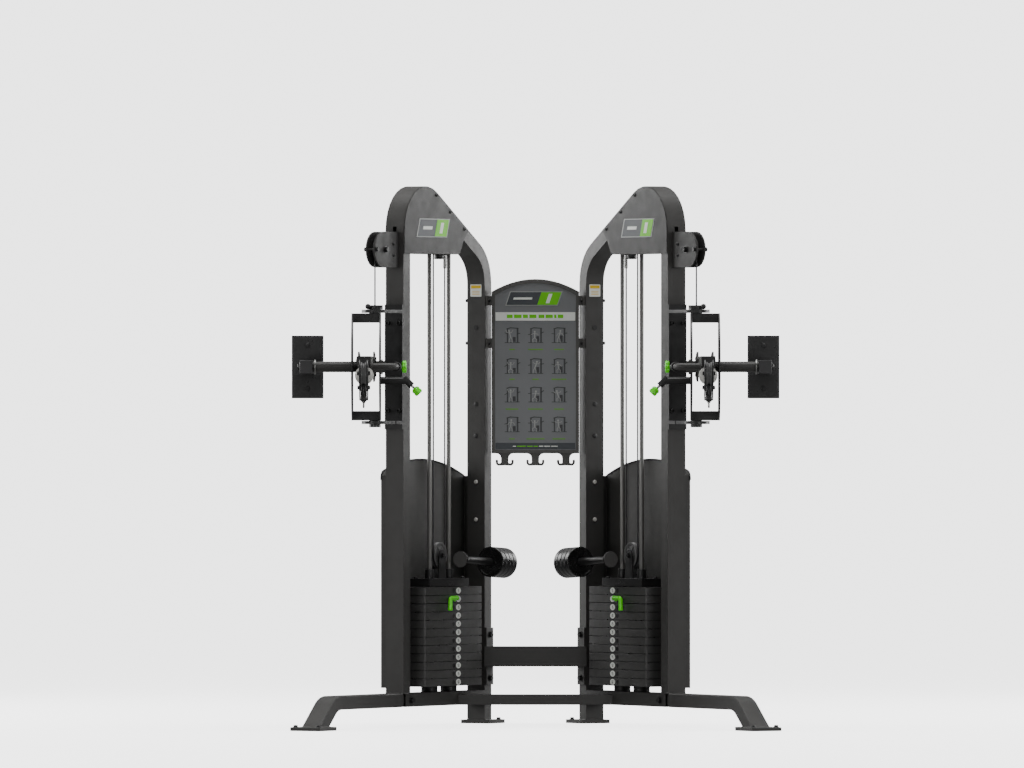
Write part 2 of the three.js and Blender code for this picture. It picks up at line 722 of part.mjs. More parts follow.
// The swivel release pin's axis: down and inward at 45 degrees from its boss.
function swivelPinAxis() {
  const start = { x: 118, y: -12, z: -51 };
  const slope = Math.SQRT1_2;
  return { ...start, at: (t) => [start.x + t * slope, start.y, start.z - t * slope] };
}

function swivelPin() {
  const axis = swivelPinAxis();
  return join([
    bar(axis.at(4), axis.at(44), 4.6, 12),
    bar(axis.at(40), axis.at(46), 9, 16, 17),
    bar(axis.at(46), axis.at(70), 17, 16),
  ]);
}

// ---- arm, drawn from the tilt axis ----
function arm() {
  const half = ARM_WIDE / 2;
  const wall = 3;
  const left = ARM_X - half;
  const right = ARM_X + half;
  const cheek = new THREE.Shape();
  cheek.moveTo(-240, -56);
  cheek.lineTo(0, -46);
  cheek.absarc(0, 0, 46, -Math.PI / 2, Math.PI / 2, false);
  cheek.lineTo(-240, 56);
  cheek.lineTo(-290, 30);
  cheek.lineTo(-290, -30);
  cheek.closePath();
  const barY = -858;
  const gripPath = roundedPath(
    [
      [right - 2, barY],
      [GRIP_X, barY],
      [GRIP_X, -440],
    ],
    32,
    6,
  ).map(([point]) => new THREE.Vector3(point.x, point.y, 0));
  const pinTab = [INNER_PLATE_X + SIDE_PLATE + 7, INNER_PLATE_X + SIDE_PLATE + 17];
  const whole = join([
    block([left, -ARM_LENGTH, -ARM_HIGH / 2], [right, -55, ARM_HIGH / 2]),
    slabAcrossX(cheek, left - 6, left + 0.5),
    slabAcrossX(cheek, right - 0.5, right + 6),
    bar([-279, 0, 0], [32, 0, 0], SHAFT_RADIUS, 18),
    tube(gripPath, 12, 12),
    block([right + 1, -228, -22], [pinTab[1], -203, 22]),
    block([pinTab[0], -228, -22], [pinTab[1], -150, 22]),
    bar([pinTab[0], -INDEX_HOLES_RADIUS, 0], [92, -INDEX_HOLES_RADIUS, 0], 14, 18),
  ]);
  const notch = block([left - 1, -ARM_LENGTH - 1, -60], [right + 1, -ARM_LENGTH + NOTCH_LENGTH, 1.5]);
  const hollow = block(
    [left + wall, -ARM_LENGTH - 9, wall - ARM_HIGH / 2],
    [right - wall, -64, ARM_HIGH / 2 - wall],
  );
  const shortHollow = hollow.subtract(
    block([left - 9, -ARM_LENGTH + NOTCH_LENGTH, -60], [right + 9, -ARM_LENGTH + NOTCH_LENGTH + 4, 60]),
  );
  const spindle = bar(
    [ARM_X, -ARM_LENGTH + NOTCH_LENGTH + 2, SLEEVE_Z],
    [ARM_X, -ARM_LENGTH + 34, SLEEVE_Z],
    15,
  );
  const rearWindow = bar([ARM_X, -100, 0], [ARM_X, -100, 60], 12);
  const plain = cut(whole, [notch, shortHollow, rearWindow]);
  return cut(plain.add(spindle), [
    bar([ARM_X, -ARM_LENGTH + NOTCH_LENGTH + 60, SLEEVE_Z], [ARM_X, -ARM_LENGTH, SLEEVE_Z], 7, 12),
    bar([pinTab[0] - 5, -INDEX_HOLES_RADIUS, 0], [95, -INDEX_HOLES_RADIUS, 0], PIN_RADIUS + 0.5, 12),
  ]);
}

function tiltPin() {
  const tip = INNER_PLATE_X + SIDE_PLATE + 0.5;
  const y = -INDEX_HOLES_RADIUS;
  return join([
    bar([tip, y, 0], [109, y, 0], PIN_RADIUS, 12),
    bar([103, y, 0], [111, y, 0], 9, 16, 20),
    bar([111, y, 0], [117, y, 0], 24, 18),
    bar([117, y, 0], [123, y, 0], 24, 18, 16),
  ]);
}

// Rubber sleeve closed at its rear end, over the grip bar.
function gripSleeve() {
  const sleeve = bar([GRIP_X, -800, 0], [GRIP_X, -424, 0], 17, 16);
  return cut(sleeve, [bar([GRIP_X, -810, 0], [GRIP_X, -436, 0], 12.6, 16)]);
}

// Lever on the shaft's outer end, with the balance weight behind.
function counterweight() {
  const lever = block([-280, -42, -25], [-232, 300, 25]);
  const box = block([-315, 285, -118], [-197, 397, 118]);
  const bore = bar([-290, 0, 0], [-220, 0, 0], SHAFT_RADIUS + GAP, 18);
  return cut(join([lever, box]), [bore]);
}

// ---- arm head ----
function headCheek() {
  const hull = ([y1, z1, r1], [y2, z2, r2]) => {
    const from = new THREE.Vector2(y1, z1);
    const along = new THREE.Vector2(y2, z2).sub(from);
    const heading = along.angle();
    const spread = Math.acos((r1 - r2) / along.length());
    const shape = new THREE.Shape();
    shape.absarc(y1, z1, r1, heading + spread, heading - spread + 2 * Math.PI, false);
    shape.absarc(y2, z2, r2, heading - spread, heading + spread, false);
    shape.closePath();
    return shape;
  };
  const neck = [-1072, -33, 28];
  return [
    hull(neck, [...FAR_PULLEY, 50]),
    hull(neck, [...NEAR_PULLEY, 48]),
  ];
}

function armHead() {
  const sheet = 4;
  const inner = 12.6;
  const front = -ARM_LENGTH - 3;
  const sleeveRear = -ARM_LENGTH + NOTCH_LENGTH - GAP - 3;
  const cheeks = headCheek().flatMap((shape) => [
    slabAcrossX(shape, ARM_X + inner, ARM_X + inner + sheet),
    slabAcrossX(shape, ARM_X - inner - sheet, ARM_X - inner),
  ]);
  const axle = ([y, z]) => bar([ARM_X - 19, y, z], [ARM_X + 19, y, z], 5, 12);
  const whole = join([
    bar([ARM_X, sleeveRear, SLEEVE_Z], [ARM_X, -ARM_LENGTH + 28, SLEEVE_Z], SLEEVE_RADIUS, 20),
    bar([ARM_X, -ARM_LENGTH + 30, SLEEVE_Z], [ARM_X, front - 10, SLEEVE_Z], 27, 20),
    ...cheeks,
    axle(FAR_PULLEY),
    axle(NEAR_PULLEY),
  ]);
  return cut(whole, [
    bar([ARM_X, sleeveRear + 5, SLEEVE_Z], [ARM_X, -ARM_LENGTH + 31, SLEEVE_Z], 15.4, 20),
    bar([ARM_X, -ARM_LENGTH + 40, SLEEVE_Z], [ARM_X, front - 20, SLEEVE_Z], 8, 12),
  ]);
}

// The cable's end in the head: over the near pulley, down to the ball and its eye.
function cableStop() {
  const [y0, z0] = NEAR_PULLEY;
  const wrap = 41;
  const place = (y, z) => new THREE.Vector3(ARM_X, y, z);
  const hang = z0 - 40;
  const points = [
    place(-ARM_LENGTH - 8, SLEEVE_Z),
    ...arcPoints([y0, z0], wrap, Math.PI / 2, Math.PI, 8, place),
    place(y0 - wrap, hang + 4),
  ];
  const eye = new THREE.TorusGeometry(9, 3, 6, 12);
  eye.rotateY(Math.PI / 2).translate(ARM_X, y0 - wrap, hang - 24);
  return join([
    tube(points, CABLE_RADIUS),
    solidOf(new THREE.SphereGeometry(14, 10, 7).translate(ARM_X, y0 - wrap - 1, hang)),
    solidOf(eye),
  ]);
}

function headPulley() {
  return pulley(HEAD_PULLEY_RADIUS, 36.6, 12, 5.4);
}

// ---- shared pieces ----
// A block given in a tower's own frame, as the pair of blocks in the machine's frame.
// The right tower's block is the left one's mirror image, so its y limits change sign.
function bothTowers([x0, y0, z0], [x1, y1, z1]) {
  const left = new THREE.Matrix4()
    .makeTranslation(TOWER_X, 0, 0)
    .multiply(new THREE.Matrix4().makeRotationZ(TOWER_TURN));
  const right = new THREE.Matrix4()
    .makeTranslation(-TOWER_X, 0, 0)
    .multiply(new THREE.Matrix4().makeRotationZ(Math.PI - TOWER_TURN));
  return [block([x0, y0, z0], [x1, y1, z1], left), block([x0, -y1, z0], [x1, -y0, z1], right)];
}

// Cross beam between the two base rails, its ends cut to the rails' faces.
function lowerCrossBeam() {
  const tools = bothTowers([-900, -400, 0], [200, HALF_WIDE + GAP, 300]);
  const beam = block([-330, 325, 75], [330, 375, 114]);
  const hollow = block([-340, 328, 78], [340, 372, 111]);
  return cut(beam.subtract(hollow), tools);
}

// Cross beam between the two rear posts, with a bolted end plate on each post.
function rearCrossBeam() {
  const face = HALF_WIDE + GAP;
  const rear = -POST_SPACING - HALF_DEEP;
  const ends = bothTowers([rear, face, 147], [rear + TUBE_DEEP, face + 8, 363]);
  const tools = bothTowers([-900, -400, 0], [200, face, 600]);
  const beam = cut(block([-210, 502, 216], [210, 548, 292]), tools);
  const hollow = block([-150, 505, 219], [150, 545, 289]);
  const drain = block([-20, 515, 210], [20, 535, 225]);
  return cut(join([beam, ...ends]), [hollow, drain]);
}

const BOARD_HALF = 166;
const BOARD_LOW = 1023;
const BOARD_HIGH = 1684;
const BOARD_SHOULDER = 1636;
const BOARD_Y = 528;

// Outline of the board: straight sides and a shallow arched top.
function boardOutline(inset) {
  const half = BOARD_HALF - inset;
  const shoulder = BOARD_SHOULDER - inset;
  return outline([
    [-half, BOARD_LOW + inset],
    [half, BOARD_LOW + inset],
    ...archPoints([half, shoulder], [-half, shoulder], BOARD_HIGH - inset, 14),
  ]);
}

// One double hook below the board: a stem that splits into two upturned arms.
function doubleHook(middle) {
  const spot = (across, z) => [across, z];
  const bend = [20, 990];
  const armOuter = 13.5;
  const armInner = 6;
  const half = [
    [0, bend[1] - armOuter + 1],
    ...arcPoints(bend, armOuter, -Math.PI / 2, 0, 5, spot),
    [bend[0] + armOuter, bend[1] + 5],
    [bend[0] + 9.5, bend[1] + 7.5],
    [bend[0] + armInner, bend[1] + 5],
    ...arcPoints(bend, armInner, 0, -Math.PI, 6, spot),
    ...arcPoints([32, BOARD_LOW - 18], 18, Math.PI, Math.PI / 2, 3, spot),
    [32, BOARD_LOW + 6],
  ];
  const mirrored = half.slice(1).reverse().map(([across, z]) => [-across, z]);
  const whole = [...half, ...mirrored].map(([across, z]) => [middle + across, z]);
  return slabAcrossY(outline(whole), BOARD_Y, BOARD_Y + 5);
}

// Back plate of the exercise board, with its hooks and its four ears on the posts.
function boardFrame() {
  const face = HALF_WIDE + GAP;
  const plate = slabAcrossY(boardOutline(0), BOARD_Y, BOARD_Y + 5);
  const hooks = [-116, 0, 116].map(doubleHook);
  const ears = [1441, 1602].flatMap((z) =>
    bothTowers([-POST_SPACING - 16, face, z - 18], [-POST_SPACING + 20, face + 4, z + 18]),
  );
  const tools = bothTowers([-900, -400, 900], [200, face, 1800]);
  const bridges = [1441, 1602].map((z) =>
    block([-200, BOARD_Y, z - 18], [200, BOARD_Y + 5, z + 18]),
  );
  return cut(join([plate, ...hooks, ...bridges, ...ears]), tools);
}

function boardPanel() {
  return slabAcrossY(boardOutline(11), BOARD_Y - 6, BOARD_Y - GAP);
}

// ---- assembly ----
function towerGroup(side) {
  const group = new THREE.Group();
  group.position.set(TOWER_X, 0, 0);
  group.rotation.z = TOWER_TURN;
  const stackPulley = pulley(PULLEY_RADIUS, WRAP_RADIUS - CABLE_RADIUS - 1.2, 8, AXLE_RADIUS + 0.4);
  group.add(
    meshOf(`${side}_tower_frame`, towerFrame(), FRAME_GREY),
    meshOf(`${side}_front_leg`, frontLeg(), FRAME_GREY),
    meshOf(`${side}_top_cover`, topCover(), PANEL_GREY),
    meshOf(`${side}_rod_head_plate`, rodHeadPlate(), DARK_STEEL),
    meshOf(`${side}_guide_rod_front`, guideRod(STACK_X + ROD_OFFSET), CHROME),
    meshOf(`${side}_guide_rod_rear`, guideRod(STACK_X - ROD_OFFSET), CHROME),
    meshOf(`${side}_stack_shroud`, stackShroud(), FRAME_GREY),
    meshOf(`${side}_parked_plates`, stackBlock(0, PIN_INDEX), BLACK_IRON),
    meshOf(`${side}_lifted_plates`, stackBlock(PIN_INDEX, LIFTED_COUNT), BLACK_IRON),
    meshOf(`${side}_stack_head`, stackHead(), DARK_STEEL),
    meshOf(`${side}_selector_pin`, selectorPin(), GREEN),
    meshOf(`${side}_addon_discs`, addonDiscs(), BLACK_IRON),
    meshOf(`${side}_stack_cable`, stackCable(), CABLE),
    meshOf(`${side}_pulley_housing`, pulleyHousing(), PANEL_GREY),
    meshOf(`${side}_swivel_bracket`, swivelBracket(), DARK_STEEL),
    movedMesh(`${side}_stack_pulley`, stackPulley, NYLON, [STACK_X, 0, STACK_PULLEY_Z]),
    movedMesh(`${side}_inner_pulley`, topPulley(), NYLON, [INNER_PULLEY_X, 0, INNER_PULLEY_Z]),
    movedMesh(`${side}_outer_pulley`, topPulley(), NYLON, [OUTER_PULLEY_X, 0, OUTER_PULLEY_Z]),
  );
  return group;
}

function armGroup(side) {
  const group = new THREE.Group();
  group.position.set(0, -TILT_REACH, 0);
  group.add(
    meshOf(`${side}_arm`, arm(), FRAME_GREY),
    meshOf(`${side}_tilt_pin`, tiltPin(), GREEN),
    meshOf(`${side}_grip_sleeve`, gripSleeve(), RUBBER),
    meshOf(`${side}_counterweight`, counterweight(), BLACK_IRON),
    meshOf(`${side}_arm_head`, armHead(), DARK_STEEL),
    meshOf(`${side}_cable_stop`, cableStop(), RUBBER),
  );
  for (const [name, [y, z]] of [["far", FAR_PULLEY], ["near", NEAR_PULLEY]]) {
    const mesh = movedMesh(`${side}_head_pulley_${name}`, headPulley(), NYLON, [ARM_X, y, z]);
    mesh.rotation.z = Math.PI / 2;
    group.add(mesh);
  }
  return group;
}

function swivelGroup(side) {
  const group = new THREE.Group();
  group.position.set(
    TOWER_X + SWIVEL_DISTANCE * Math.cos(TOWER_TURN),
    SWIVEL_DISTANCE * Math.sin(TOWER_TURN),
    HUB_Z,
  );
  group.add(
    meshOf(`${side}_swivel_carriage`, swivelCarriage(), DARK_STEEL),
    meshOf(`${side}_swivel_pin`, swivelPin(), GREEN),
    armGroup(side),
  );
  return group;
}

function half(side) {
  const group = new THREE.Group();
  group.add(towerGroup(side), swivelGroup(side));
  group.scale.x = side === "left" ? 1 : -1;
  return group;
}

// Half the depth from the rear feet to the arm ends, so that the origin is under the middle.
const REAR_REACH =
  REAR_FOOT_X * Math.sin(TOWER_TURN) +
  (REAR_FOOT / 2) * (Math.abs(Math.sin(TOWER_TURN)) + Math.abs(Math.cos(TOWER_TURN)));
const FRONT_REACH = SWIVEL_DISTANCE * Math.sin(TOWER_TURN) - TILT_REACH + FAR_PULLEY[0] - 50;

const machine = new THREE.Group();
machine.position.y = -(REAR_REACH + FRONT_REACH) / 2;
machine.add(
  half("left"),
  half("right"),
  meshOf("lower_cross_beam", lowerCrossBeam(), FRAME_GREY),
  meshOf("rear_cross_beam", rearCrossBeam(), FRAME_GREY),
  meshOf("board_frame", boardFrame(), FRAME_GREY),
  meshOf("board_panel", boardPanel(), SLATE),
);

export default machine;
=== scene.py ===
import json
from math import atan2, cos, degrees, hypot, pi, radians, sin, sqrt, tan
import bpy
import bmesh
from mathutils import Matrix, Vector
from mathutils.geometry import tessellate_polygon


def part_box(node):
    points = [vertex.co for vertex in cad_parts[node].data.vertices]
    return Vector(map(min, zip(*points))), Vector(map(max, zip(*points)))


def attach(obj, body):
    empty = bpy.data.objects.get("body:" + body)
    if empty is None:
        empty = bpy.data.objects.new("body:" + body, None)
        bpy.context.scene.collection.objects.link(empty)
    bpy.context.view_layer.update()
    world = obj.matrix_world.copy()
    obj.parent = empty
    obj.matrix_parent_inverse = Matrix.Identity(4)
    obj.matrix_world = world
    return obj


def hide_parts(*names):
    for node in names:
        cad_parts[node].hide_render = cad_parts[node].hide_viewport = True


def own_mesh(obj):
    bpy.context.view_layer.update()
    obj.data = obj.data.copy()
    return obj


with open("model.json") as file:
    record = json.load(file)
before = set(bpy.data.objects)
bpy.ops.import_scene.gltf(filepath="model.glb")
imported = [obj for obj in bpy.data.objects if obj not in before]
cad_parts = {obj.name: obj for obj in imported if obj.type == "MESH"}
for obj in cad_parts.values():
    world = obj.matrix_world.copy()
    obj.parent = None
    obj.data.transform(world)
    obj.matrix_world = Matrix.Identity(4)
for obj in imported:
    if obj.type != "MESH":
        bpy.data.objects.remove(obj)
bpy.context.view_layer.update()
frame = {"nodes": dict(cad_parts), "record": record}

# ---- places, in millimetres in each part's own frame ----
# A tower has x forward along its rail, y across and z up. The right tower is the left mirrored.
SWIVEL_X = 175
ROD_GAP = 74
STACK_X, STACK_HALF = -314, 64.5
PLATE_LOW, PLATE_PITCH = 148, 31.3
REAR_POST, INNER_FACE, POST_HALF = -626, -600, 38
FOOT_TOP = 14
COVER_FACE = 41.3
STACK_PULLEY = (STACK_X, 0, 640)
INNER_PULLEY = (STACK_X + 88, 0, 1842)
OUTER_PULLEY = (131, 0, 1789)
CABLE_WRAP = 44
# An arm has x across, y back along its tube and z up, from the tilt's axis.
ARM_X = -29
SLEEVE_Z = -33
HEAD_FAR = (ARM_X, -1190, -25)
HEAD_NEAR = (ARM_X, -1102, -77)

move = Matrix.Translation
PLUS_X, MINUS_X = (1, 0, 0), (-1, 0, 0)
PLUS_Y, MINUS_Y = (0, 1, 0), (0, -1, 0)
PLUS_Z = (0, 0, 1)
TURN = radians(241)
ROD_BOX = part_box("left_guide_rod_front")
SHIFT = 500 * (ROD_BOX[0][1] + ROD_BOX[1][1]) - (STACK_X + ROD_GAP) * sin(TURN)
TOWER = move((-516, SHIFT, 0)) @ Matrix.Rotation(TURN, 4, "Z")
HUB = TOWER @ Vector((SWIVEL_X, 0, 1350))
CARRIAGE = move(HUB)
TILT = move(HUB + Vector((0, -50, 0)))
MACHINE = move((0, SHIFT, 0))
MIRROR = Matrix.Scale(-1, 4, PLUS_X)
UPRIGHT = Matrix.Rotation(pi / 2, 4, "X")


# ---- materials ----
def feed(tree, socket, value):
    """Links another node's output to a socket, or sets a plain value on it."""
    if isinstance(value, bpy.types.NodeSocket):
        tree.links.new(value, socket)
    else:
        socket.default_value = value


def add_node(tree, kind, **inputs):
    """Adds a shader node and feeds its inputs; an underscore stands for a space in a name."""
    node = tree.nodes.new(f"ShaderNode{kind}")
    for name, value in inputs.items():
        feed(tree, node.inputs[name.replace("_", " ")], value)
    return node


def ramp(tree, source, low, high):
    """Spreads a noise's middle range over low to high."""
    return add_node(tree, "MapRange", From_Min=0.3, From_Max=0.7, To_Min=low, To_Max=high,
                    Value=source).outputs["Result"]


def noise(tree, coords, scale, detail, stretch):
    mapping = add_node(tree, "Mapping", Scale=stretch, Vector=coords)
    return add_node(tree, "TexNoise", Scale=scale, Detail=detail,
                    Vector=mapping.outputs["Vector"]).outputs["Fac"]


def mix(tree, factor, first, second):
    node = add_node(tree, "Mix")
    node.data_type = "RGBA"
    for name, value in (("Factor", factor), ("A", first), ("B", second)):
        feed(tree, [s for s in node.inputs if s.name == name and s.enabled][0], value)
    return [s for s in node.outputs if s.enabled][0]


def edge_wear_and_highlight_mask(tree):
    """Bright where the surface turns sharply: for wear along edges, and partly as a painted
    highlight that makes edges look rounded.
    """
    bevel = add_node(tree, "Bevel", Radius=0.0018)
    bevel.samples = 4
    dot = add_node(tree, "VectorMath")
    dot.operation = "DOT_PRODUCT"
    feed(tree, dot.inputs[0], bevel.outputs["Normal"])
    feed(tree, dot.inputs[1], add_node(tree, "NewGeometry").outputs["Normal"])
    return add_node(tree, "MapRange", From_Min=0.97, From_Max=0.86,
                    Value=dot.outputs["Value"]).outputs["Result"]


def times(tree, first, second):
    node = add_node(tree, "Math")
    node.operation = "MULTIPLY"
    node.use_clamp = True
    feed(tree, node.inputs[0], first)
    feed(tree, node.inputs[1], second)
    return node.outputs["Value"]


DUST_COLOUR = (0.42, 0.41, 0.39, 1)
PATCH_SCALE = 6.0


def surface(name, base, rough, mottle=0.1, rough_spread=0.1, grain=900, bump=0.12, depth=0.0004,
            metal=0.0, wear=0.0, wear_colour=None, dust=0.0, coat=0.0, stretch=(1, 1, 1),
            gloss=0.5):
    """A finish whose colour and roughness drift, with fine bump, dust, and edges lightened partly by
    wear and partly as a painted highlight.
    """
    mat = bpy.data.materials.new(name)
    mat.use_nodes = True
    tree = mat.node_tree
    shader = tree.nodes["Principled BSDF"]
    coords = add_node(tree, "TexCoord").outputs["Object"]
    dark = tuple(c * (1 - mottle) for c in base) + (1,)
    light = tuple(min(1, c * (1 + mottle)) for c in base) + (1,)
    drift = noise(tree, coords, PATCH_SCALE, 5.0, stretch)
    fine = noise(tree, coords, grain, 2.0, stretch)
    colour = mix(tree, ramp(tree, drift, 0.0, 1.0), dark, light)
    speckle = times(tree, ramp(tree, fine, 0.0, 1.0), 0.5)
    colour = mix(tree, speckle, colour, tuple(c * (1 - mottle * 0.8) for c in base) + (1,))
    if dust:
        split = add_node(tree, "SeparateXYZ", Vector=add_node(tree, "NewGeometry").outputs["Normal"])
        settled = times(tree, split.outputs["Z"], times(tree, ramp(tree, drift, 0.3, 1.0), dust))
        colour = mix(tree, settled, colour, DUST_COLOUR)
    # lighter edges: partly real wear, partly a painted highlight standing in for light on rounded
    # edges
    if wear:
        edges_worn_and_highlit = times(tree, edge_wear_and_highlight_mask(tree), ramp(tree, drift, 0.0, wear))
        colour = mix(tree, edges_worn_and_highlit, colour, wear_colour + (1,))
    rough_patches = noise(tree, coords, PATCH_SCALE * 4, 4.0, stretch)
    least, most = max(0.03, rough - rough_spread), min(1.0, rough + rough_spread)
    relief = add_node(tree, "Bump", Strength=bump, Distance=depth, Height=fine)
    for socket, value in (("Base Color", colour), ("Metallic", metal), ("Coat Weight", coat),
                          ("Roughness", ramp(tree, rough_patches, least, most)),
                          ("Specular IOR Level", gloss), ("Normal", relief.outputs["Normal"])):
        feed(tree, shader.inputs[socket], value)
    return mat


# colour, roughness, mottle, roughness spread, grain, bump and bump depth, then what is special
MATS = {
    "frame_paint": surface(
        "charcoal_powder_coat", (0.046, 0.045, 0.043), 0.44, 0.10, 0.06, 1100, 0.22, wear=0.22,
        wear_colour=(0.13, 0.128, 0.12), dust=0.05, gloss=0.38),
    "panel_paint": surface(
        "grey_powder_coat", (0.031, 0.0305, 0.0295), 0.52, 0.07, 0.06, 1100, 0.2, wear=0.2,
        wear_colour=(0.12, 0.12, 0.115), dust=0.04, gloss=0.28),
    "dark_paint": surface(
        "black_powder_coat", (0.016, 0.016, 0.016), 0.36, 0.16, 0.1, 1000, 0.25, wear=0.35,
        wear_colour=(0.09, 0.09, 0.09), dust=0.04),
    "weight_paint": surface(
        "black_weight_paint", (0.030, 0.030, 0.031), 0.42, 0.2, 0.1, 700, 0.3, 0.0006, wear=0.35,
        wear_colour=(0.10, 0.10, 0.10), dust=0.05),
    "plate_iron": surface(
        "painted_iron_plates", (0.048, 0.0475, 0.0460), 0.46, 0.2, 0.1, 520, 0.35, 0.0008,
        wear=0.45, wear_colour=(0.08, 0.08, 0.078), dust=0.03),
    "disc_iron": surface(
        "gloss_black_discs", (0.005, 0.005, 0.005), 0.26, 0.2, 0.08, 800, 0.3, 0.0005, wear=0.3,
        wear_colour=(0.03, 0.03, 0.03)),
    "rod_chrome": surface(
        "chromed_steel", (0.20, 0.198, 0.190), 0.50, 0.03, 0.04, 300, 0.01, 0.0001, metal=0.6,
        stretch=(1, 1, 0.04)),
    "grip_rubber": surface(
        "ribbed_rubber", (0.014, 0.014, 0.014), 0.62, 0.2, 0.08, 1400, 0.35, 0.0004, dust=0.05),
    "stop_rubber": surface(
        "smooth_rubber", (0.010, 0.010, 0.010), 0.45, 0.2, 0.1, 1500, 0.2, 0.0003, dust=0.03),
    "green_plastic": surface(
        "green_moulded_plastic", (0.110, 0.85, 0.0), 0.30, 0.06, 0.05, 900, 0.08, 0.0002,
        coat=0.25),
    "pulley_nylon": surface(
        "grey_nylon", (0.085, 0.085, 0.084), 0.42, 0.1, 0.08, 700, 0.15, 0.0003, dust=0.04),
    "cable_jacket": surface(
        "cable_jacket_finish", (0.020, 0.020, 0.021), 0.36, 0.15, 0.06, 1600, 0.25, 0.0004,
        stretch=(1, 1, 3)),
    "board_plastic": surface(
        "slate_board", (0.165, 0.170, 0.176), 0.5, 0.05, 0.05, 900, 0.1, 0.0002),
}
RUBBER = MATS["stop_rubber"]
BOARD_PAINT = surface("board_frame_paint", (0.072, 0.070, 0.066), 0.5, 0.1, 0.06, 1000, 0.2,
                      wear=0.2, wear_colour=(0.12, 0.12, 0.115), dust=0.03)
BRIGHT_ZINC = surface("bright_zinc", (0.72, 0.71, 0.67), 0.38, 0.08, 0.08, 600, 0.12, 0.0003,
                      metal=0.5)
STEEL = surface("zinc_plated_steel", (0.30, 0.30, 0.29), 0.34, 0.12, 0.1, 600, 0.15, 0.0003,
                metal=0.9)
# the black of the bolts; the same black also serves as painted shade in the gaps between weight
# plates and inside the pin holes
BLACK_BOLT_AND_SHADE = surface("black_oxide_bolts", (0.008, 0.008, 0.008), 0.34, 0.2, 0.1, 900, 0.2,
                     0.0003, wear=0.4, wear_colour=(0.08, 0.08, 0.08))


def printed(name, colour, rough=0.45, mottle=0.05, rough_spread=0.05):
    """A matt ink or a printed label."""
    return surface(name, colour, rough, mottle, rough_spread, 900, 0.06, gloss=0.2)


OFF_WHITE = printed("off_white_print", (0.80, 0.82, 0.77), 0.5)
PALE_PRINT = printed("pale_grey_print", (0.37, 0.38, 0.37), 0.5, 0.08)
DARK_PRINT = printed("dark_print", (0.070, 0.077, 0.084), 0.45, 0.1, 0.06)
BLACK_PRINT = printed("black_print", (0.060, 0.062, 0.064), 0.45, 0.1, 0.06)
GREEN_PRINT = printed("green_print", (0.150, 0.58, 0.01))
AMBER_PRINT = printed("amber_print", (0.75, 0.50, 0.03))
DULL_GREEN = surface("dull_green_print", (0.11, 0.32, 0.01), 0.5)

# the record's material slot of each finish; a print that isn't named here is board_plastic
SLOT_OF = {material.name: slot for slot, material in MATS.items()}
SLOT_OF.update(board_frame_paint="stop_rubber", bright_zinc="rod_chrome",
               zinc_plated_steel="rod_chrome", black_oxide_bolts="dark_paint",
               green_print="green_plastic", dull_green_print="green_plastic")


# ---- shapes, in millimetres ----
class Geo:
    """Loose surfaces collected into one mesh."""

    def __init__(self):
        self.verts = []
        self.faces = []

    def add(self, part, matrix=None):
        verts, faces = part
        start = len(self.verts)
        self.verts += [matrix @ Vector(v) if matrix else Vector(v) for v in verts]
        self.faces += [tuple(i + start for i in face) for face in faces]
        return self


def aim(origin, direction):
    """Places local +Z along a direction, from an origin."""
    turn = Vector(direction).to_track_quat("Z", "Y").to_matrix().to_4x4()
    return move(origin) @ turn


def lathe(profile, segments, closed=False):
    """A surface turned about +Z from (radius, height) points."""
    verts, rings = [], []
    for radius, height in profile:
        if radius < 1e-6:
            rings.append([len(verts)] * segments)
            verts.append((0, 0, height))
            continue
        rings.append(list(range(len(verts), len(verts) + segments)))
        for i in range(segments):
            angle = 2 * pi * i / segments
            verts.append((radius * cos(angle), radius * sin(angle), height))
    pairs = list(zip(rings, rings[1:] + rings[:1])) if closed else list(zip(rings, rings[1:]))
    faces = []
    for low, high in pairs:
        for i in range(segments):
            j = (i + 1) % segments
            corners = [low[i], low[j], high[j], high[i]]
            unique = list(dict.fromkeys(corners))
            if len(unique) > 2:
                faces.append(unique)
    return verts, faces


def ring(profile, segments):
    """A closed section turned about +Z."""
    return lathe(profile, segments, closed=True)


def facing(side, x, y, z):
    """Lays print from (x, y) on an upright face that looks along +Y, readable on either tower."""
    reading = 1 if side == "right" else -1
    return Matrix(((reading, 0, 0, x), (0, 0, 1, y), (0, 1, 0, z), (0, 0, 0, 1)))


def box(low, high):
    xs, ys, zs = zip(low, high)
    verts = [(x, y, z) for z in zs for y in ys for x in xs]
    faces = [(0, 2, 3, 1), (4, 5, 7, 6), (0, 1, 5, 4), (2, 6, 7, 3), (0, 4, 6, 2), (1, 3, 7, 5)]
    return verts, faces


def prism(outline, low, high, holes=()):
    """A flat outline in (x, y), with holes, thick from low to high along z."""
    loops = [list(outline)] + [list(hole) for hole in holes]
    flat = [point for loop in loops for point in loop]
    count = len(flat)
    verts = [(x, y, low) for x, y in flat] + [(x, y, high) for x, y in flat]
    tris = tessellate_polygon([[Vector((x, y, 0)) for x, y in loop] for loop in loops])
    faces = [tuple(tri) for tri in tris]
    faces += [tuple(i + count for i in reversed(tri)) for tri in tris]
    start = 0
    for loop in loops:
        size = len(loop)
        for i in range(size):
            j = (i + 1) % size
            faces.append((start + i, start + j, start + j + count, start + i + count))
        start += size
    return verts, faces


def circle(x, y, radius, segments=20):
    step = 2 * pi / segments
    return [(x + radius * cos(step * i), y + radius * sin(step * i)) for i in range(segments)]


def rounded(x0, y0, x1, y1, radius, steps=5):
    """A rectangle's outline with round corners."""
    points = []
    for cx, cy, start in ((x1 - radius, y0 + radius, -90), (x1 - radius, y1 - radius, 0),
                          (x0 + radius, y1 - radius, 90), (x0 + radius, y0 + radius, 180)):
        for i in range(steps + 1):
            angle = radians(start + 90 * i / steps)
            points.append((cx + radius * cos(angle), cy + radius * sin(angle)))
    return points


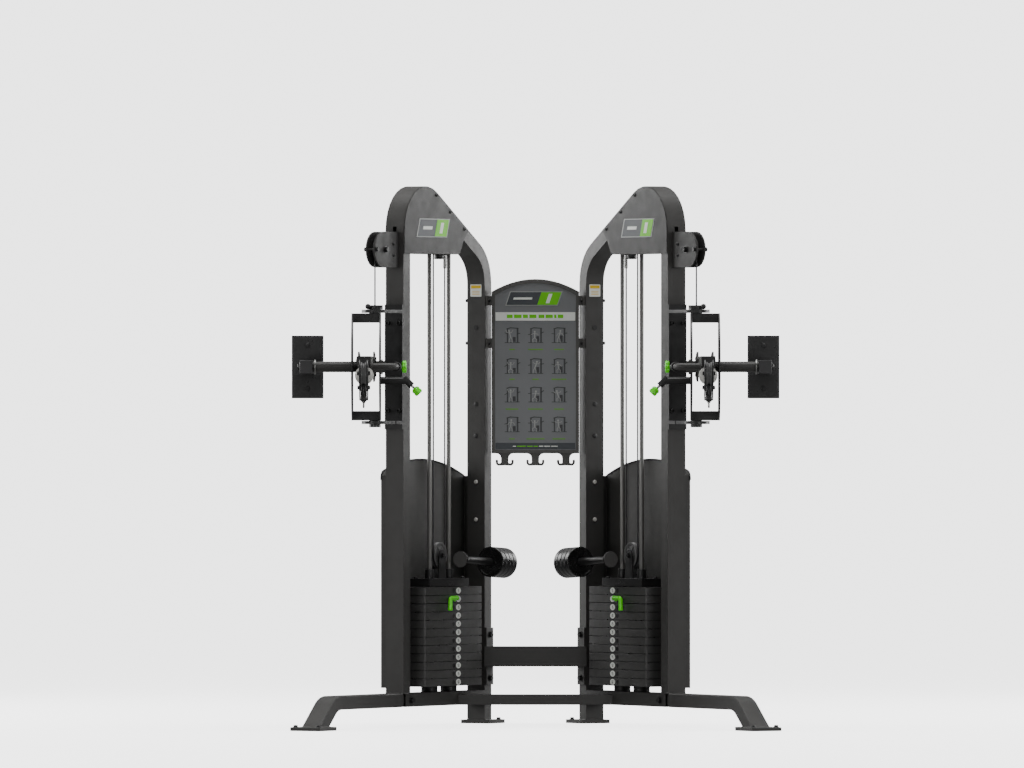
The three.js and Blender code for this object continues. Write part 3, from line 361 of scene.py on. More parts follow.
def sweep(points, radius, segments=12, closed=False):
    """A round tube through points."""
    path = [Vector(p) for p in points]
    count = len(path)
    verts, faces = [], []
    side = None
    for i, point in enumerate(path):
        before = path[i - 1] if i or closed else path[0]
        after = path[(i + 1) % count] if i < count - 1 or closed else path[-1]
        tangent = (after - before).normalized()
        if side is None:
            side = tangent.orthogonal().normalized()
        side = (side - tangent * side.dot(tangent)).normalized()
        other = tangent.cross(side)
        for k in range(segments):
            angle = 2 * pi * k / segments
            verts.append(point + (side * cos(angle) + other * sin(angle)) * radius)
    rows = count if closed else count - 1
    for i in range(rows):
        for k in range(segments):
            a, b = i * segments, ((i + 1) % count) * segments
            n = (k + 1) % segments
            faces.append((a + k, a + n, b + n, b + k))
    if not closed:
        faces.append(tuple(range(segments)))
        faces.append(tuple((count - 1) * segments + k for k in reversed(range(segments))))
    return verts, faces


def hex_bolt(radius, height):
    """A hex head with a chamfered top on a round washer, standing on z = 0."""
    bolt = Geo()
    rim, washer = radius * 1.32, 1.6
    bolt.add(lathe([(0, 0), (rim, 0), (rim, washer * 0.7), (rim - 0.5, washer), (0, washer)], 28))
    bolt.add(lathe([(0, washer - 0.2), (radius, washer - 0.2), (radius, height * 0.8),
                    (radius * 0.84, height), (0, height)], 6))
    return bolt.verts, bolt.faces


def socket_bolt(radius, height):
    """A round head with a round socket, standing on z = 0."""
    return lathe([(radius * 0.98, 0), (radius, 0.5), (radius, height * 0.82),
                  (radius * 0.88, height), (radius * 0.55, height),
                  (radius * 0.5, height * 0.45), (0, height * 0.45)], 24)


def button_bolt(radius, height=4.5):
    """A domed head with a small socket, standing on z = 0."""
    return lathe([(radius, 0), (radius * 0.97, height * 0.4), (radius * 0.8, height * 0.8),
                  (radius * 0.45, height), (radius * 0.4, height * 0.5), (0, height * 0.5)], 24)


def make_piece(name, geo, material, body, place, bevel=0.0, segments=3, sharp=35, slot=None,
               replaces=()):
    """Makes one visible piece, in metres, that rides on a CAD body."""
    if isinstance(geo, tuple):
        geo = Geo().add(geo)
    slot = slot or SLOT_OF.get(material.name, "board_plastic")
    mesh = bpy.data.meshes.new(name)
    mesh.from_pydata([(place @ v) / 1000 for v in geo.verts], [], geo.faces)
    work = bmesh.new()
    work.from_mesh(mesh)
    bmesh.ops.recalc_face_normals(work, faces=work.faces)
    work.to_mesh(mesh)
    work.free()
    mesh.materials.append(material)
    mesh.shade_smooth()
    mesh.set_sharp_from_angle(angle=radians(sharp))
    obj = bpy.data.objects.new(name, mesh)
    bpy.context.collection.objects.link(obj)
    if bevel:
        soften(obj, bevel, segments)
    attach(obj, body)
    if replaces:
        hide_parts(*replaces)
    return obj


def piece(side, name, geo, material, body="base", place=TOWER, bevel=0.0, segments=3,
          replaces=(), **looks):
    """Makes a tower's piece: its name, body and replaced nodes get the side's name in front."""
    where = MIRROR @ place if side == "right" else place
    side_body = body if body == "base" else f"{side}_{body}"
    return make_piece(f"{side}_{name}", geo, material, side_body, where, bevel, segments,
                      replaces=[f"{side}_{node}" for node in replaces], **looks)


def soften(obj, width, segments):
    """Rounds the sharp edges of a piece with a small bevel."""
    mod = obj.modifiers.new("edge_round", "BEVEL")
    mod.width = width / 1000
    mod.segments = segments
    mod.limit_method = "ANGLE"
    mod.angle_limit = radians(38)
    mod.harden_normals = True


# ---- shapes taken over from the CAD nodes: joined faces, smooth bends, rounded edges ----
ROUNDING = {
    "tower_frame": 3.0, "front_leg": 3.0, "top_cover": 0.9, "stack_shroud": 0.9,
    "rod_head_plate": 1.0, "stack_head": 1.5, "pulley_housing": 1.0, "swivel_bracket": 1.5,
    "swivel_carriage": 0.9, "arm": 2.2, "counterweight": 4.0, "arm_head": 1.0,
    "lower_cross_beam": 3.0, "rear_cross_beam": 2.0, "board_frame": 1.0, "board_panel": 0.8,
}
SLOTS = {part["node"]: part["material_slot"] for part in frame["record"]["subparts"]}
BODIES = {node: body for body, members in frame["record"]["behaviour"]["bodies"].items()
          for node in members}


def joined_faces(node):
    """A node's triangles joined into whole flat faces, in millimetres."""
    work = bmesh.new()
    work.from_mesh(node.data)
    bmesh.ops.remove_doubles(work, verts=work.verts, dist=1e-6)
    bmesh.ops.dissolve_limit(work, angle_limit=radians(0.2), verts=work.verts, edges=work.edges)
    geo = Geo()
    work.verts.index_update()
    geo.verts = [vert.co * 1000 for vert in work.verts]
    geo.faces = [tuple(vert.index for vert in face.verts) for face in work.faces]
    work.free()
    return geo


def round_bends(obj):
    """Turns the flat steps of a bent tube into a smooth bend."""
    work = bmesh.new()
    work.from_mesh(obj.data)
    weight = work.edges.layers.float.new("bevel_weight_edge")
    widest = 0.03
    least_turn, most_turn = 6, 33
    tube_depth, tube_width = 0.045, 0.085
    for edge in work.edges:
        turn = degrees(edge.calc_face_angle(0))
        if least_turn < turn < most_turn and tube_depth < edge.calc_length() < tube_width:
            reach = min(other.calc_length() for face in edge.link_faces for other in face.edges
                        if other is not edge and set(other.verts) & set(edge.verts))
            edge[weight] = min(1.0, 0.42 * reach / widest)
    work.to_mesh(obj.data)
    work.free()
    mod = obj.modifiers.new("smooth_bend", "BEVEL")
    mod.width = widest
    mod.segments = 4
    mod.limit_method = "WEIGHT"
    mod.use_clamp_overlap = False


for node_name, node in frame["nodes"].items():
    finish = BOARD_PAINT if node_name == "board_frame" else MATS[SLOTS[node_name]]
    node.data.materials.clear()
    node.data.materials.append(finish)
    kind = node_name.replace("left_", "").replace("right_", "")
    if kind in ROUNDING:
        shape = make_piece(f"{node_name}_shape", joined_faces(node), finish, BODIES[node_name],
                           Matrix.Identity(4), sharp=33, slot=SLOTS[node_name],
                           replaces=[node_name])
        if kind in ("tower_frame", "front_leg"):
            round_bends(shape)
        soften(shape, ROUNDING[kind], 2)
        even = shape.modifiers.new("even_normals", "WEIGHTED_NORMAL")
        even.keep_sharp = True


# ---- bolts ----
def bolt_set(side, name, spots, body="base", place=TOWER, material=BLACK_BOLT_AND_SHADE):
    """Bolts joined into one piece: each spot is (head, position, direction)."""
    geo = Geo()
    for head, position, direction in spots:
        geo.add(head, aim(position, direction))
    piece(side, name, geo, material, body, place, sharp=30, slot="dark_paint")


def tower_bolts(side):
    spots = []
    for x, z in ((-219, 1997), (-327, 1935), (-437, 1871)):
        for y, way in ((COVER_FACE, PLUS_Y), (-COVER_FACE, MINUS_Y)):
            spots.append((button_bolt(7), (x, y, z), way))
    spots.append((hex_bolt(9, 8), (INNER_PULLEY[0], -COVER_FACE, INNER_PULLEY[2]), MINUS_Y))
    for z in (172, 337):
        spots.append((hex_bolt(11, 11), (REAR_POST, 46.3, z), PLUS_Y))
    for y, way in ((POST_HALF, PLUS_Y), (-POST_HALF, MINUS_Y)):
        spots.append((hex_bolt(11.5, 12), (-34, y, 99), way))
    for x, y, radius in ((686, 48, 8), (686, -48, 8), (-697, 44, 7.5), (-697, -44, 7.5)):
        spots.append((hex_bolt(radius, 8), (x, y, FOOT_TOP), PLUS_Z))
    for y in (-24, 24):
        for z in (1186, 1514):
            spots.append((socket_bolt(8, 8), (34.3, y, z), PLUS_X))
    for x in (-24, -628):
        for z in (200, 540, 860):
            spots.append((button_bolt(6, 3.5), (x, -78, z), MINUS_Y))
    for z in (1441, 1602):
        spots.append((button_bolt(7), (REAR_POST, 42.3, z), PLUS_Y))
        spots.append((hex_bolt(7, 11), (-611, -POST_HALF, z), MINUS_Y))
    bolt_set(side, "tower_bolts", spots)
    bright = [(button_bolt(8, 5), (INNER_FACE, 0, z), PLUS_X) for z in (773, 915)]
    bolt_set(side, "post_bolts", bright, material=BRIGHT_ZINC)


def housing_bolts(side):
    spots = []
    axle, _, height = OUTER_PULLEY
    for y, way in ((20, PLUS_Y), (-20, MINUS_Y)):
        spots.append((hex_bolt(11, 12), (axle, y, height), way))
        spots.append((hex_bolt(9, 10), (200, y, height), way))
        spots += [(button_bolt(6), (70, y, height + lift), way) for lift in (21, -21)]
    bolt_set(side, "housing_bolts", spots)


def arm_bolts(side):
    spots = []
    for y, z in ((-112, 30), (-112, -30), (-258, 22), (-258, -22)):
        spots.append((socket_bolt(6.5, 5), (2.5, y, z), PLUS_X))
        spots.append((hex_bolt(8, 7), (-60.5, y, z), MINUS_X))
    spots.append((hex_bolt(11, 8), (32, 0, 0), PLUS_X))
    spots.append((hex_bolt(13, 9), (-280, 0, 0), MINUS_X))
    for z in (-81, 81):
        spots.append((hex_bolt(8, 7), (-256, 282.4, z), MINUS_Y))
        spots.append((hex_bolt(8, 7), (-256, 397, z), PLUS_Y))
    bolt_set(side, "arm_bolts", spots, "arm_body", TILT)
    collar = lathe([(20, 0), (27, 0), (28, 1), (28, 5), (27, 6), (20, 6)], 32)
    geo = Geo().add(collar, aim((-226, 0, 0), PLUS_X)).add(collar, aim((24, 0, 0), PLUS_X))
    piece(side, "shaft_collars", geo, STEEL, "arm_body", TILT, 0.5)


def head_bolts(side):
    """The head's bolts, and the bright rings of its turning sleeve."""
    spots = []
    for x, y, z in (HEAD_FAR, HEAD_NEAR):
        spots.append((hex_bolt(8, 7), (x + 16.6, y, z), PLUS_X))
        spots.append((hex_bolt(8, 7), (x - 16.6, y, z), MINUS_X))
    bolt_set(side, "head_bolts", spots, "head_body", TILT)
    rings = Geo()
    for y in (-920, -996):
        rings.add(lathe([(31, -4), (33.4, -3), (33.9, 0), (33.4, 3), (31, 4)], 40),
                  aim((ARM_X, y, SLEEVE_Z), PLUS_Y))
    for y, inner, outer in ((-1011.2, 27.2, 33.6), (-1052.2, 17, 28.4)):
        rings.add(ring([(inner, 0), (outer, 0), (outer, 2), (outer - 1, 3), (inner, 3)], 40),
                  aim((ARM_X, y, SLEEVE_Z), MINUS_Y))
    piece(side, "head_rings", rings, BRIGHT_ZINC, "head_body", TILT)


# ---- weight stack ----
STACK_GROUPS = (("parked", range(10), "base"), ("lifted", range(10, 12), "lift_body"))


def pin_height(row):
    """How high a plate's selector hole is."""
    return PLATE_LOW + (row + 0.5) * PLATE_PITCH - 0.75


def stack_plates(side):
    outline = rounded(STACK_X - 218.5, -STACK_HALF, STACK_X + 218.5, STACK_HALF, 6)
    # a thin black sheet, set back from the plates' sides, fills the gap between two plates: painted
    # shade in the gap
    waist = rounded(STACK_X - 211, -57, STACK_X + 211, 57, 6)
    holes = [circle(STACK_X - ROD_GAP, 0, 9), circle(STACK_X + ROD_GAP, 0, 9),
             circle(STACK_X, 0, 14.4)]
    for label, rows, body in STACK_GROUPS:
        plates, gap_shade = Geo(), Geo()
        for row in rows:
            low = PLATE_LOW + row * PLATE_PITCH
            plates.add(prism(outline, low + 0.6, low + 29.2, holes))
            if row != rows[-1]:
                gap_shade.add(prism(waist, low + 28.6, low + 32.4, holes))
        piece(side, f"{label}_iron_plates", plates, MATS["plate_iron"], body, TOWER, 1.4, 2,
              replaces=[f"{label}_plates"])
        piece(side, f"{label}_plate_gaps", gap_shade, BLACK_BOLT_AND_SHADE, body)


def digit_bars(text):
    """Seven-bar digits as (x, y, width, height) bars in a cell 10 wide and 16 high."""
    bars = {"a": (0, 14, 8, 2), "b": (6, 8, 2, 8), "c": (6, 0, 2, 8), "d": (0, 0, 8, 2),
            "e": (0, 0, 2, 8), "f": (0, 8, 2, 8), "g": (0, 7, 8, 2)}
    lit = {"0": "abcdef", "1": "bc", "2": "abged", "3": "abgcd", "4": "fgbc", "5": "afgcd",
           "6": "afgedc", "7": "abc", "8": "abcdefg", "9": "abfgcd"}
    found = []
    for place, digit in enumerate(text):
        for key in lit[digit]:
            x, y, w, h = bars[key]
            found.append((x + place * 10.5, y, w, h))
    return found


def stack_labels(side):
    """Pale oval labels with plain weight numbers, a dark ring round each pin hole, and a flat dark
    disc in each ring as painted shade of the hole.
    """
    oval = [(18 * cos(a), 11.5 * sin(a)) for a in (2 * pi * k / 36 for k in range(36))]
    scale = 0.72
    for label, rows, body in STACK_GROUPS:
        ovals, rings, numbers = Geo(), Geo(), Geo()
        for row in rows:
            z = pin_height(row)
            across = facing(side, STACK_X - 34, STACK_HALF, z)
            ovals.add(prism(oval, 0, 0.7), across)
            text = str((12 - row) * 5)
            width = 10.5 * len(text) - 2.5
            for x, y, w, h in digit_bars(text):
                x0, y0 = (x - width / 2) * scale, (y - 8) * scale
                numbers.add(box((x0, y0, 0.7), (x0 + w * scale, y0 + h * scale, 0.95)), across)
            hole = aim((STACK_X, STACK_HALF, z), PLUS_Y)
            rings.add(ring([(6.0, 0), (9.5, 0), (9.5, 0.5), (8.8, 0.9), (6.4, 0.9), (6.0, 0.4)],
                           24), hole)
            # a flat dark disc where the pin hole is: painted shade of the hole's inside
            rings.add(lathe([(0, 0.15), (6.1, 0.15), (6.1, 0.05), (0, 0.05)], 24), hole)
        piece(side, f"{label}_labels", ovals, OFF_WHITE, body)
        piece(side, f"{label}_numbers", numbers, DARK_PRINT, body)
        piece(side, f"{label}_hole_rings", rings, BLACK_BOLT_AND_SHADE, body)


def guide_rods(side):
    for label, x in (("front", STACK_X + ROD_GAP), ("rear", STACK_X - ROD_GAP)):
        place = TOWER @ move((x, 0, 0))
        rod = lathe([(0, 126.3), (7.4, 126.3), (8, 127.3), (8, 1786.5), (7, 1788), (0, 1788)], 40)
        piece(side, f"{label}_rod", rod, MATS["rod_chrome"], "base", place,
              replaces=[f"guide_rod_{label}"])
        cushion = ring([(8.2, 126.3), (30.4, 126.3), (31, 127.4), (31, 134), (30.2, 135),
                        (30.2, 138.5), (31, 139.5), (31, 146.4), (30.4, 147.5), (8.2, 147.5)],
                       48)
        piece(side, f"{label}_cushion", cushion, RUBBER, "base", place)
        collar = ring([(8.6, 553), (17, 553), (17.4, 556), (17.4, 584), (16.6, 588.5),
                       (8.6, 588.5)], 32)
        piece(side, f"{label}_bushing", collar, RUBBER, "lift_body", place, 0.8)
    stop = lathe([(0, 1756.6), (15, 1756.6), (18.3, 1759), (18.3, 1764), (17.2, 1766),
                  (17.2, 1771), (18.3, 1773), (18.3, 1778.5), (0, 1778.5)], 32)
    piece(side, "rubber_stop", stop, RUBBER, "base", TOWER @ move((STACK_X, 0, 0)))
    nut = ring([(8.3, 0), (19, 0), (19, 2.2), (15, 3), (15, 9), (8.3, 9)], 32)
    nuts = Geo()
    for x in (STACK_X - ROD_GAP, STACK_X + ROD_GAP):
        nuts.add(nut, move((x, 0, 1790.4)))
    piece(side, "rod_collars", nuts, STEEL, bevel=0.5)
    spots = [(hex_bolt(9, 8), (STACK_X, 15, STACK_PULLEY[2]), PLUS_Y),
             (hex_bolt(9, 8), (STACK_X, -15, STACK_PULLEY[2]), MINUS_Y)]
    for x in (-128, 128):
        for y in (-30, 30):
            spots.append((socket_bolt(7, 6), (STACK_X + x, y, 553.6), PLUS_Z))
    bolt_set(side, "stack_head_bolts", spots, "lift_body")


# ---- cable ----
def arc(centre, start, end, steps=20):
    """The cable's path round a pulley, between two angles in degrees."""
    points = []
    for i in range(steps + 1):
        angle = radians(start + (end - start) * i / steps)
        points.append((centre[0] + CABLE_WRAP * cos(angle), 0, centre[2] + CABLE_WRAP * sin(angle)))
    return points


def cord(points):
    return sweep(points, 3, 14)


def cable(side):
    slope = degrees(atan2(OUTER_PULLEY[2] - INNER_PULLEY[2], OUTER_PULLEY[0] - INNER_PULLEY[0]))
    jacket = MATS["cable_jacket"]

    def run(name, x, high):
        """An upright run of cable from the stack pulley's height up to a given height."""
        low, steps = STACK_PULLEY[2], 12
        points = [(x, 0, low + (high - low) * i / steps) for i in range(steps + 1)]
        obj = piece(side, name, cord(points), jacket, replaces=["stack_cable"])
        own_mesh(obj)

    run("cable_fixed_run", STACK_X - CABLE_WRAP, 1769.7)
    run("cable_lift_run", STACK_X + CABLE_WRAP, INNER_PULLEY[2])
    piece(side, "cable_loop", cord(arc(STACK_PULLEY, 180, 360, 28)), jacket, "lift_body",
          replaces=["stack_cable"])
    top = arc(INNER_PULLEY, 180, 90 + slope) + arc(OUTER_PULLEY, 90 + slope, 0)
    top += [(SWIVEL_X, 0, OUTER_PULLEY[2] - 264 * i / 6) for i in range(1, 7)]
    piece(side, "cable_top_run", cord(top), jacket, replaces=["stack_cable"])
    sleeve = ring([(3.2, 1722), (5.5, 1722), (6.5, 1726), (6.5, 1764), (7.5, 1768), (3.2, 1769)],
                  24)
    piece(side, "cable_anchor", sleeve, STEEL, "base", TOWER @ move((STACK_X - CABLE_WRAP, 0, 0)))


# ---- pulleys ----
def pulley_profile(radius, groove, half, bore):
    web = half - 3.2
    hub = bore + 10
    rim = radius - 9
    lower = [(bore, -half), (hub - 1, -half), (hub, -half + 0.8), (hub + 1.5, -web),
             (rim - 2, -web), (rim, -half + 0.8), (rim + 1.2, -half), (radius - 0.8, -half),
             (radius, -half + 0.8), (radius, -half + 2.2), (groove + 1.5, -3.6), (groove, -1.8)]
    return lower + [(r, -z) for r, z in reversed(lower)]


def pulley(side, label, place, radius, groove, half, bore):
    """A grooved wheel with six ribs on each face, and its bearing's bright rings."""
    geo = Geo().add(ring(pulley_profile(radius, groove, half, bore), 56))
    span = radius - 20 - bore
    for k in range(6):
        turn = Matrix.Rotation(k * pi / 3, 4, "Z")
        for z0, z1 in ((half - 3.4, half - 1.0), (1.0 - half, 3.4 - half)):
            geo.add(box((bore + 9.5, -1.6, z0), (bore + 9.5 + span, 1.6, z1)), turn)
    body = f"{label}_body"
    piece(side, f"{label}_wheel", geo, MATS["pulley_nylon"], body, place, replaces=[label])
    bearing = Geo()
    for z, way in ((half, 1), (-half, -1)):
        bearing.add(ring([(bore + 0.2, z), (bore + 7.6, z), (bore + 7.6, z + way * 0.7),
                          (bore + 5.2, z + way * 0.9), (bore + 4.6, z + way * 0.4),
                          (bore + 0.2, z + way * 0.6)], 40))
    piece(side, f"{label}_bearing", bearing, STEEL, body, place)


def pulleys(side):
    for label, centre in (("stack", STACK_PULLEY), ("inner", INNER_PULLEY),
                          ("outer", OUTER_PULLEY)):
        pulley(side, f"{label}_pulley", TOWER @ aim(centre, PLUS_Y), 49, 40.2, 8, 6.4)
    for label, centre in (("far", HEAD_FAR), ("near", HEAD_NEAR)):
        pulley(side, f"head_pulley_{label}", TILT @ aim(centre, PLUS_X), 42, 36.8, 11.2, 5.4)


# ---- green controls and grips ----
def knob_profile(radius, length, waist):
    r = radius
    return [(0, 0), (r * 0.5, 0), (r * 0.62, length * 0.04), (r * 0.96, length * 0.22),
            (r, length * 0.32), (r * waist, length * 0.5), (r, length * 0.68),
            (r * 0.98, length * 0.86), (r * 0.84, length * 0.97), (r * 0.5, length), (0, length)]


def fluted(profile, lobes, depth, segments):
    """A turned knob whose outer surface is scooped into grip flutes."""
    verts, faces = lathe(profile, segments)
    widest = max(r for r, _ in profile)
    carved = []
    for x, y, z in verts:
        r = hypot(x, y)
        if r > widest * 0.7:
            angle = atan2(y, x)
            r_new = r - depth * (0.5 - 0.5 * cos(angle * lobes)) ** 2
            x, y = x * r_new / r, y * r_new / r
        carved.append((x, y, z))
    return carved, faces


def controls(side):
    """The tilt's and the swivel's release knobs, on their sprung plungers."""
    green = MATS["green_plastic"]
    place = TILT @ aim((102, -169, 0), PLUS_X)
    knob = fluted(knob_profile(23, 18, 0.93), 8, 2.1, 96)
    piece(side, "tilt_knob", knob, green, "tilt_pin_body", place, sharp=50, replaces=["tilt_pin"])
    shank = lathe([(0, -78.5), (4, -78.5), (5, -75), (5, 1), (0, 1)], 28)
    piece(side, "tilt_plunger", shank, STEEL, "tilt_pin_body", place)
    slope = sqrt(0.5)
    place = CARRIAGE @ aim((118, -12, -51), (slope, 0, -slope))
    knob = fluted(knob_profile(17, 30, 0.9), 6, 1.6, 84)
    piece(side, "swivel_knob", knob, green, "swivel_pin_body", place @ move((0, 0, 40)), sharp=50,
          replaces=["swivel_pin"])
    shank = lathe([(0, 4), (4, 4), (4.6, 6), (4.6, 42), (0, 42)], 28)
    piece(side, "swivel_plunger", shank, STEEL, "swivel_pin_body", place)


def bent_path(corners, radius, steps=8):
    """A path through corners, each inner corner rounded to a radius."""
    points = [Vector(corners[0])]
    for a, b, c in zip(corners, corners[1:], corners[2:]):
        a, b, c = Vector(a), Vector(b), Vector(c)
        before, after = (b - a).normalized(), (c - b).normalized()
        angle = before.angle(after)
        setback = radius * tan(angle / 2)
        start, end = b - before * setback, b + after * setback
        for i in range(steps + 1):
            t = i / steps
            points.append((1 - t) ** 2 * start + 2 * t * (1 - t) * b + t * t * end)
    points.append(Vector(corners[-1]))
    return points


def selector_pin(side):
    """The steel pin in the stack, and its cranked green handle."""
    z = pin_height(10)
    pin = lathe([(0, 0), (3.5, 0), (5, 3), (5, 76), (0, 76)], 28)
    piece(side, "selector_shank", pin, STEEL, "selector_pin_body",
          TOWER @ aim((STACK_X, -10, z), PLUS_Y))
    handle = Geo().add(ring([(5.1, 65.6), (9, 65.6), (9.6, 67), (9.6, 71), (8.6, 72.6),
                             (5.1, 72.6)], 32), aim((STACK_X, 0, z), PLUS_Y))
    y, near_end, far_end = 79.5, STACK_X + 1, STACK_X + 55
    path = bent_path([(near_end, y, z + 4), (STACK_X + 53, y, z + 4), (far_end, y, z - 40)], 12)
    handle.add(sweep(path, 8.2, 24))
    handle.add(lathe([(0, -3), (7.4, -2.6), (8.8, 0), (8.8, 7), (8.0, 9), (0, 9)], 24),
               aim((near_end, y, z + 4), PLUS_X))
    handle.add(lathe([(0, 0), (7, 0), (8.8, 2), (9.1, 7), (8.6, 12), (0, 12)], 24),
               aim((far_end, y, z - 43), PLUS_Z))
    piece(side, "selector_grip", handle, MATS["green_plastic"], "selector_pin_body",
          sharp=50, replaces=["selector_pin"])


def grip(side):
    """The ribbed grip, the weld that holds its bar, and the plug in the arm's end."""
    profile = [(12.5, 1), (15.5, 0), (17.6, 2), (17.6, 7), (16.4, 9)]
    for i in range(43):
        at = 11 + i * 8.2
        profile += [(16.1, at), (17.0, at + 1.6), (17.0, at + 5.2), (16.1, at + 6.8)]
    profile += [(16.6, 366), (17.4, 369), (16.6, 374), (13, 376), (0, 376), (0, 365), (12.5, 364)]
    piece(side, "ribbed_grip", ring(profile, 40), MATS["grip_rubber"], "arm_body",
          TILT @ aim((86, -800, 0), PLUS_Y), sharp=40, replaces=["grip_sleeve"])
    weld = ring([(12, 0), (15.4, 0), (15, 1.4), (12.8, 4), (12, 4)], 32)
    piece(side, "grip_weld", weld, MATS["frame_paint"], "arm_body",
          TILT @ aim((-3.5, -858, 0), PLUS_X))
    end = move((ARM_X, -1035.5, 0)) @ UPRIGHT
    plug = Geo().add(prism(rounded(-22, 4.5, 22, 34.5, 3), 0, 4), end)
    plug.add(prism(rounded(-17, 9, 17, 30, 3), 4, 5.2), end)
    piece(side, "arm_end_cap", plug, RUBBER, "arm_body", TILT, 0.8)


def counterweight_face(side):
    geo = Geo()
    for low, high, thick, y in ((-110, -30, 2.4, 285), (30, 110, 2.4, 285), (-110, 110, 2.0, 399)):
        geo.add(prism(rounded(-307, low, -205, high, 5), 0, thick), move((0, y, 0)) @ UPRIGHT)
    piece(side, "counterweight_faces", geo, MATS["dark_paint"], "arm_body", TILT, 0.8)


# ---- storage horn ----
RISE = radians(3)
HORN = TOWER @ aim((REAR_POST, 140, 606), (cos(RISE), 0, sin(RISE)))


def discs_on_horn(side):
    geo = Geo()
    for i in range(4):
        low = 58.3 + i * 28
        geo.add(ring([(17, low + 1), (18.5, low), (24, low), (25, low + 3), (48, low + 3),
                      (50, low), (55.5, low), (57.5, low + 2), (57.5, low + 24), (55.5, low + 26.4),
                      (50, low + 26.4), (48, low + 23), (25, low + 23), (24, low + 26.4),
                      (18.5, low + 26.4), (17, low + 25.4)], 64))
    piece(side, "horn_discs", geo, MATS["disc_iron"], "addon_discs_body", HORN, sharp=28,
          replaces=["addon_discs"])
    cap = lathe([(0, 399.5), (22, 399.5), (29.5, 398), (30.8, 395), (30.8, 393.8), (0, 393.8)], 48)
    piece(side, "horn_cap", cap, RUBBER, "base", HORN)


def horn_sleeve(side):
    """The storage horn's black coated bar, tapering to its cap, and its weld collar."""
    sleeve = Geo().add(lathe([(0, -3), (16.3, -3), (16.4, 0), (16.3, 52), (15.4, 170), (13.4, 310),
                              (11.6, 392), (12.6, 394), (0, 394)], 40))
    sleeve.add(ring([(16, 51), (31, 51), (32.4, 52.2), (32.4, 57), (31.4, 58), (16, 58)], 48))
    piece(side, "horn_coating", sleeve, RUBBER, "base", HORN, sharp=50)


# ---- small parts of the arm and the tower ----
def cable_end(side):
    """The cable round the near head pulley, with its rubber ball and eye."""
    x, y0, z0 = HEAD_NEAR
    wrap = 41
    hang = y0 - wrap
    points = [(x, -1047, SLEEVE_Z)]
    for i in range(17):
        angle = radians(90 + 90 * i / 16)
        points.append((x, y0 + wrap * cos(angle), z0 + wrap * sin(angle)))
    points.append((x, hang, z0 - 36))
    piece(side, "end_cable", cord(points), MATS["cable_jacket"], "head_body", TILT,
          replaces=["cable_stop"])
    ball = [(0, -14)] + [(14 * cos(radians(a)), 14 * sin(radians(a)))
                         for a in range(-80, 81, 10)] + [(0, 14)]
    piece(side, "stop_ball", lathe(ball, 40), RUBBER, "head_body",
          TILT @ move((x, hang - 1, z0 - 40)), sharp=60)
    eye = [(0, 8.6 * cos(a), 8.6 * sin(a)) for a in (2 * pi * k / 28 for k in range(28))]
    geo = Geo().add(sweep(eye, 3.6, 14, closed=True), move((x, hang, z0 - 63)))
    geo.add(lathe([(0, 0), (5, 0), (6, 1.5), (6, 9), (4, 11), (0, 11)], 24),
            move((x, hang, z0 - 57.5)))
    piece(side, "cable_eye", geo, STEEL, "head_body", TILT, sharp=50)


def weld_loop(middle, half_x, half_y, z):
    """A slightly uneven bead round a post's foot."""
    corners = rounded(middle - half_x, -half_y, middle + half_x, half_y, 3, 3)
    points = []
    for (ax, ay), (bx, by) in zip(corners, corners[1:] + corners[:1]):
        steps = max(1, int(hypot(bx - ax, by - ay) / 4))
        for i in range(steps):
            points.append((ax + (bx - ax) * i / steps, ay + (by - ay) * i / steps,
                           z + 0.35 * sin(1.9 * len(points))))
    return sweep(points, 2.6, 8, closed=True)


def welds(side):
    """Weld beads where the posts meet the foot plate and the rail, and the posts' hole plugs."""
    beads = Geo().add(weld_loop(REAR_POST, 26, 38, 14.4)).add(weld_loop(0, 26.2, 38.2, 126.4))
    piece(side, "weld_beads", beads, MATS["frame_paint"], sharp=70)
    plugs = Geo().add(prism(rounded(-9, -9, 9, 9, 9, 8), 0, 1.4), aim((INNER_FACE, 0, 1500), PLUS_X))
    for z in (1210, 1090):
        plugs.add(lathe([(0, 0), (9, 0), (9, 1), (7, 2), (0, 2)], 24),
                  aim((INNER_FACE, 0, z), PLUS_X))
    piece(side, "hole_plugs", plugs, RUBBER)


def leaning(left, right, low, high):
    """A four-sided outline whose ends lean to the right; left and right are at half height."""
    shift = 0.34 * (high - low) / 2
    return [(left - shift, low), (right - shift, low), (right + shift, high), (left + shift, high)]


def cover_badge(side):
    """A plain badge on the cover's inner face: pale rim, dark field, green field, blank bars."""
    place = TOWER @ facing(side, -196, COVER_FACE, 1873)
    green_left = 28 if side == "right" else 20
    piece(side, "badge_rim", prism(leaning(-116, 116, -35, 35), 0, 0.8), PALE_PRINT, "base", place)
    piece(side, "badge_field", prism(leaning(-109, 109, -31.5, 31.5), 0.7, 1.2), DARK_PRINT,
          "base", place)
    piece(side, "badge_green", prism(leaning(green_left, 109, -31.5, 31.5), 1.1, 1.6),
          GREEN_PRINT, "base", place)
    bars = Geo().add(prism(leaning(-78, -8, -6, 6), 1.1, 1.6))
    bars.add(prism(leaning(52, 74, -20, 20), 1.5, 2.0))
    piece(side, "badge_bars", bars, OFF_WHITE, "base", place)


def post_label(side):
    """A small blank label on the rear post's inner face: pale, with an amber band."""
    place = TOWER @ aim((INNER_FACE, 0, 1640), PLUS_X)
    piece(side, "post_label", prism(rounded(-24, -23, 24, 23, 3), 0, 0.5), OFF_WHITE, "base", place)
    band = Geo().add(box((-21, 8, 0.4), (21, 20, 0.8)))
    for z in (-4, -10, -16):
        band.add(box((-16, z, 0.4), (16, z + 2, 0.8)))
    piece(side, "post_label_band", band, AMBER_PRINT, "base", place)


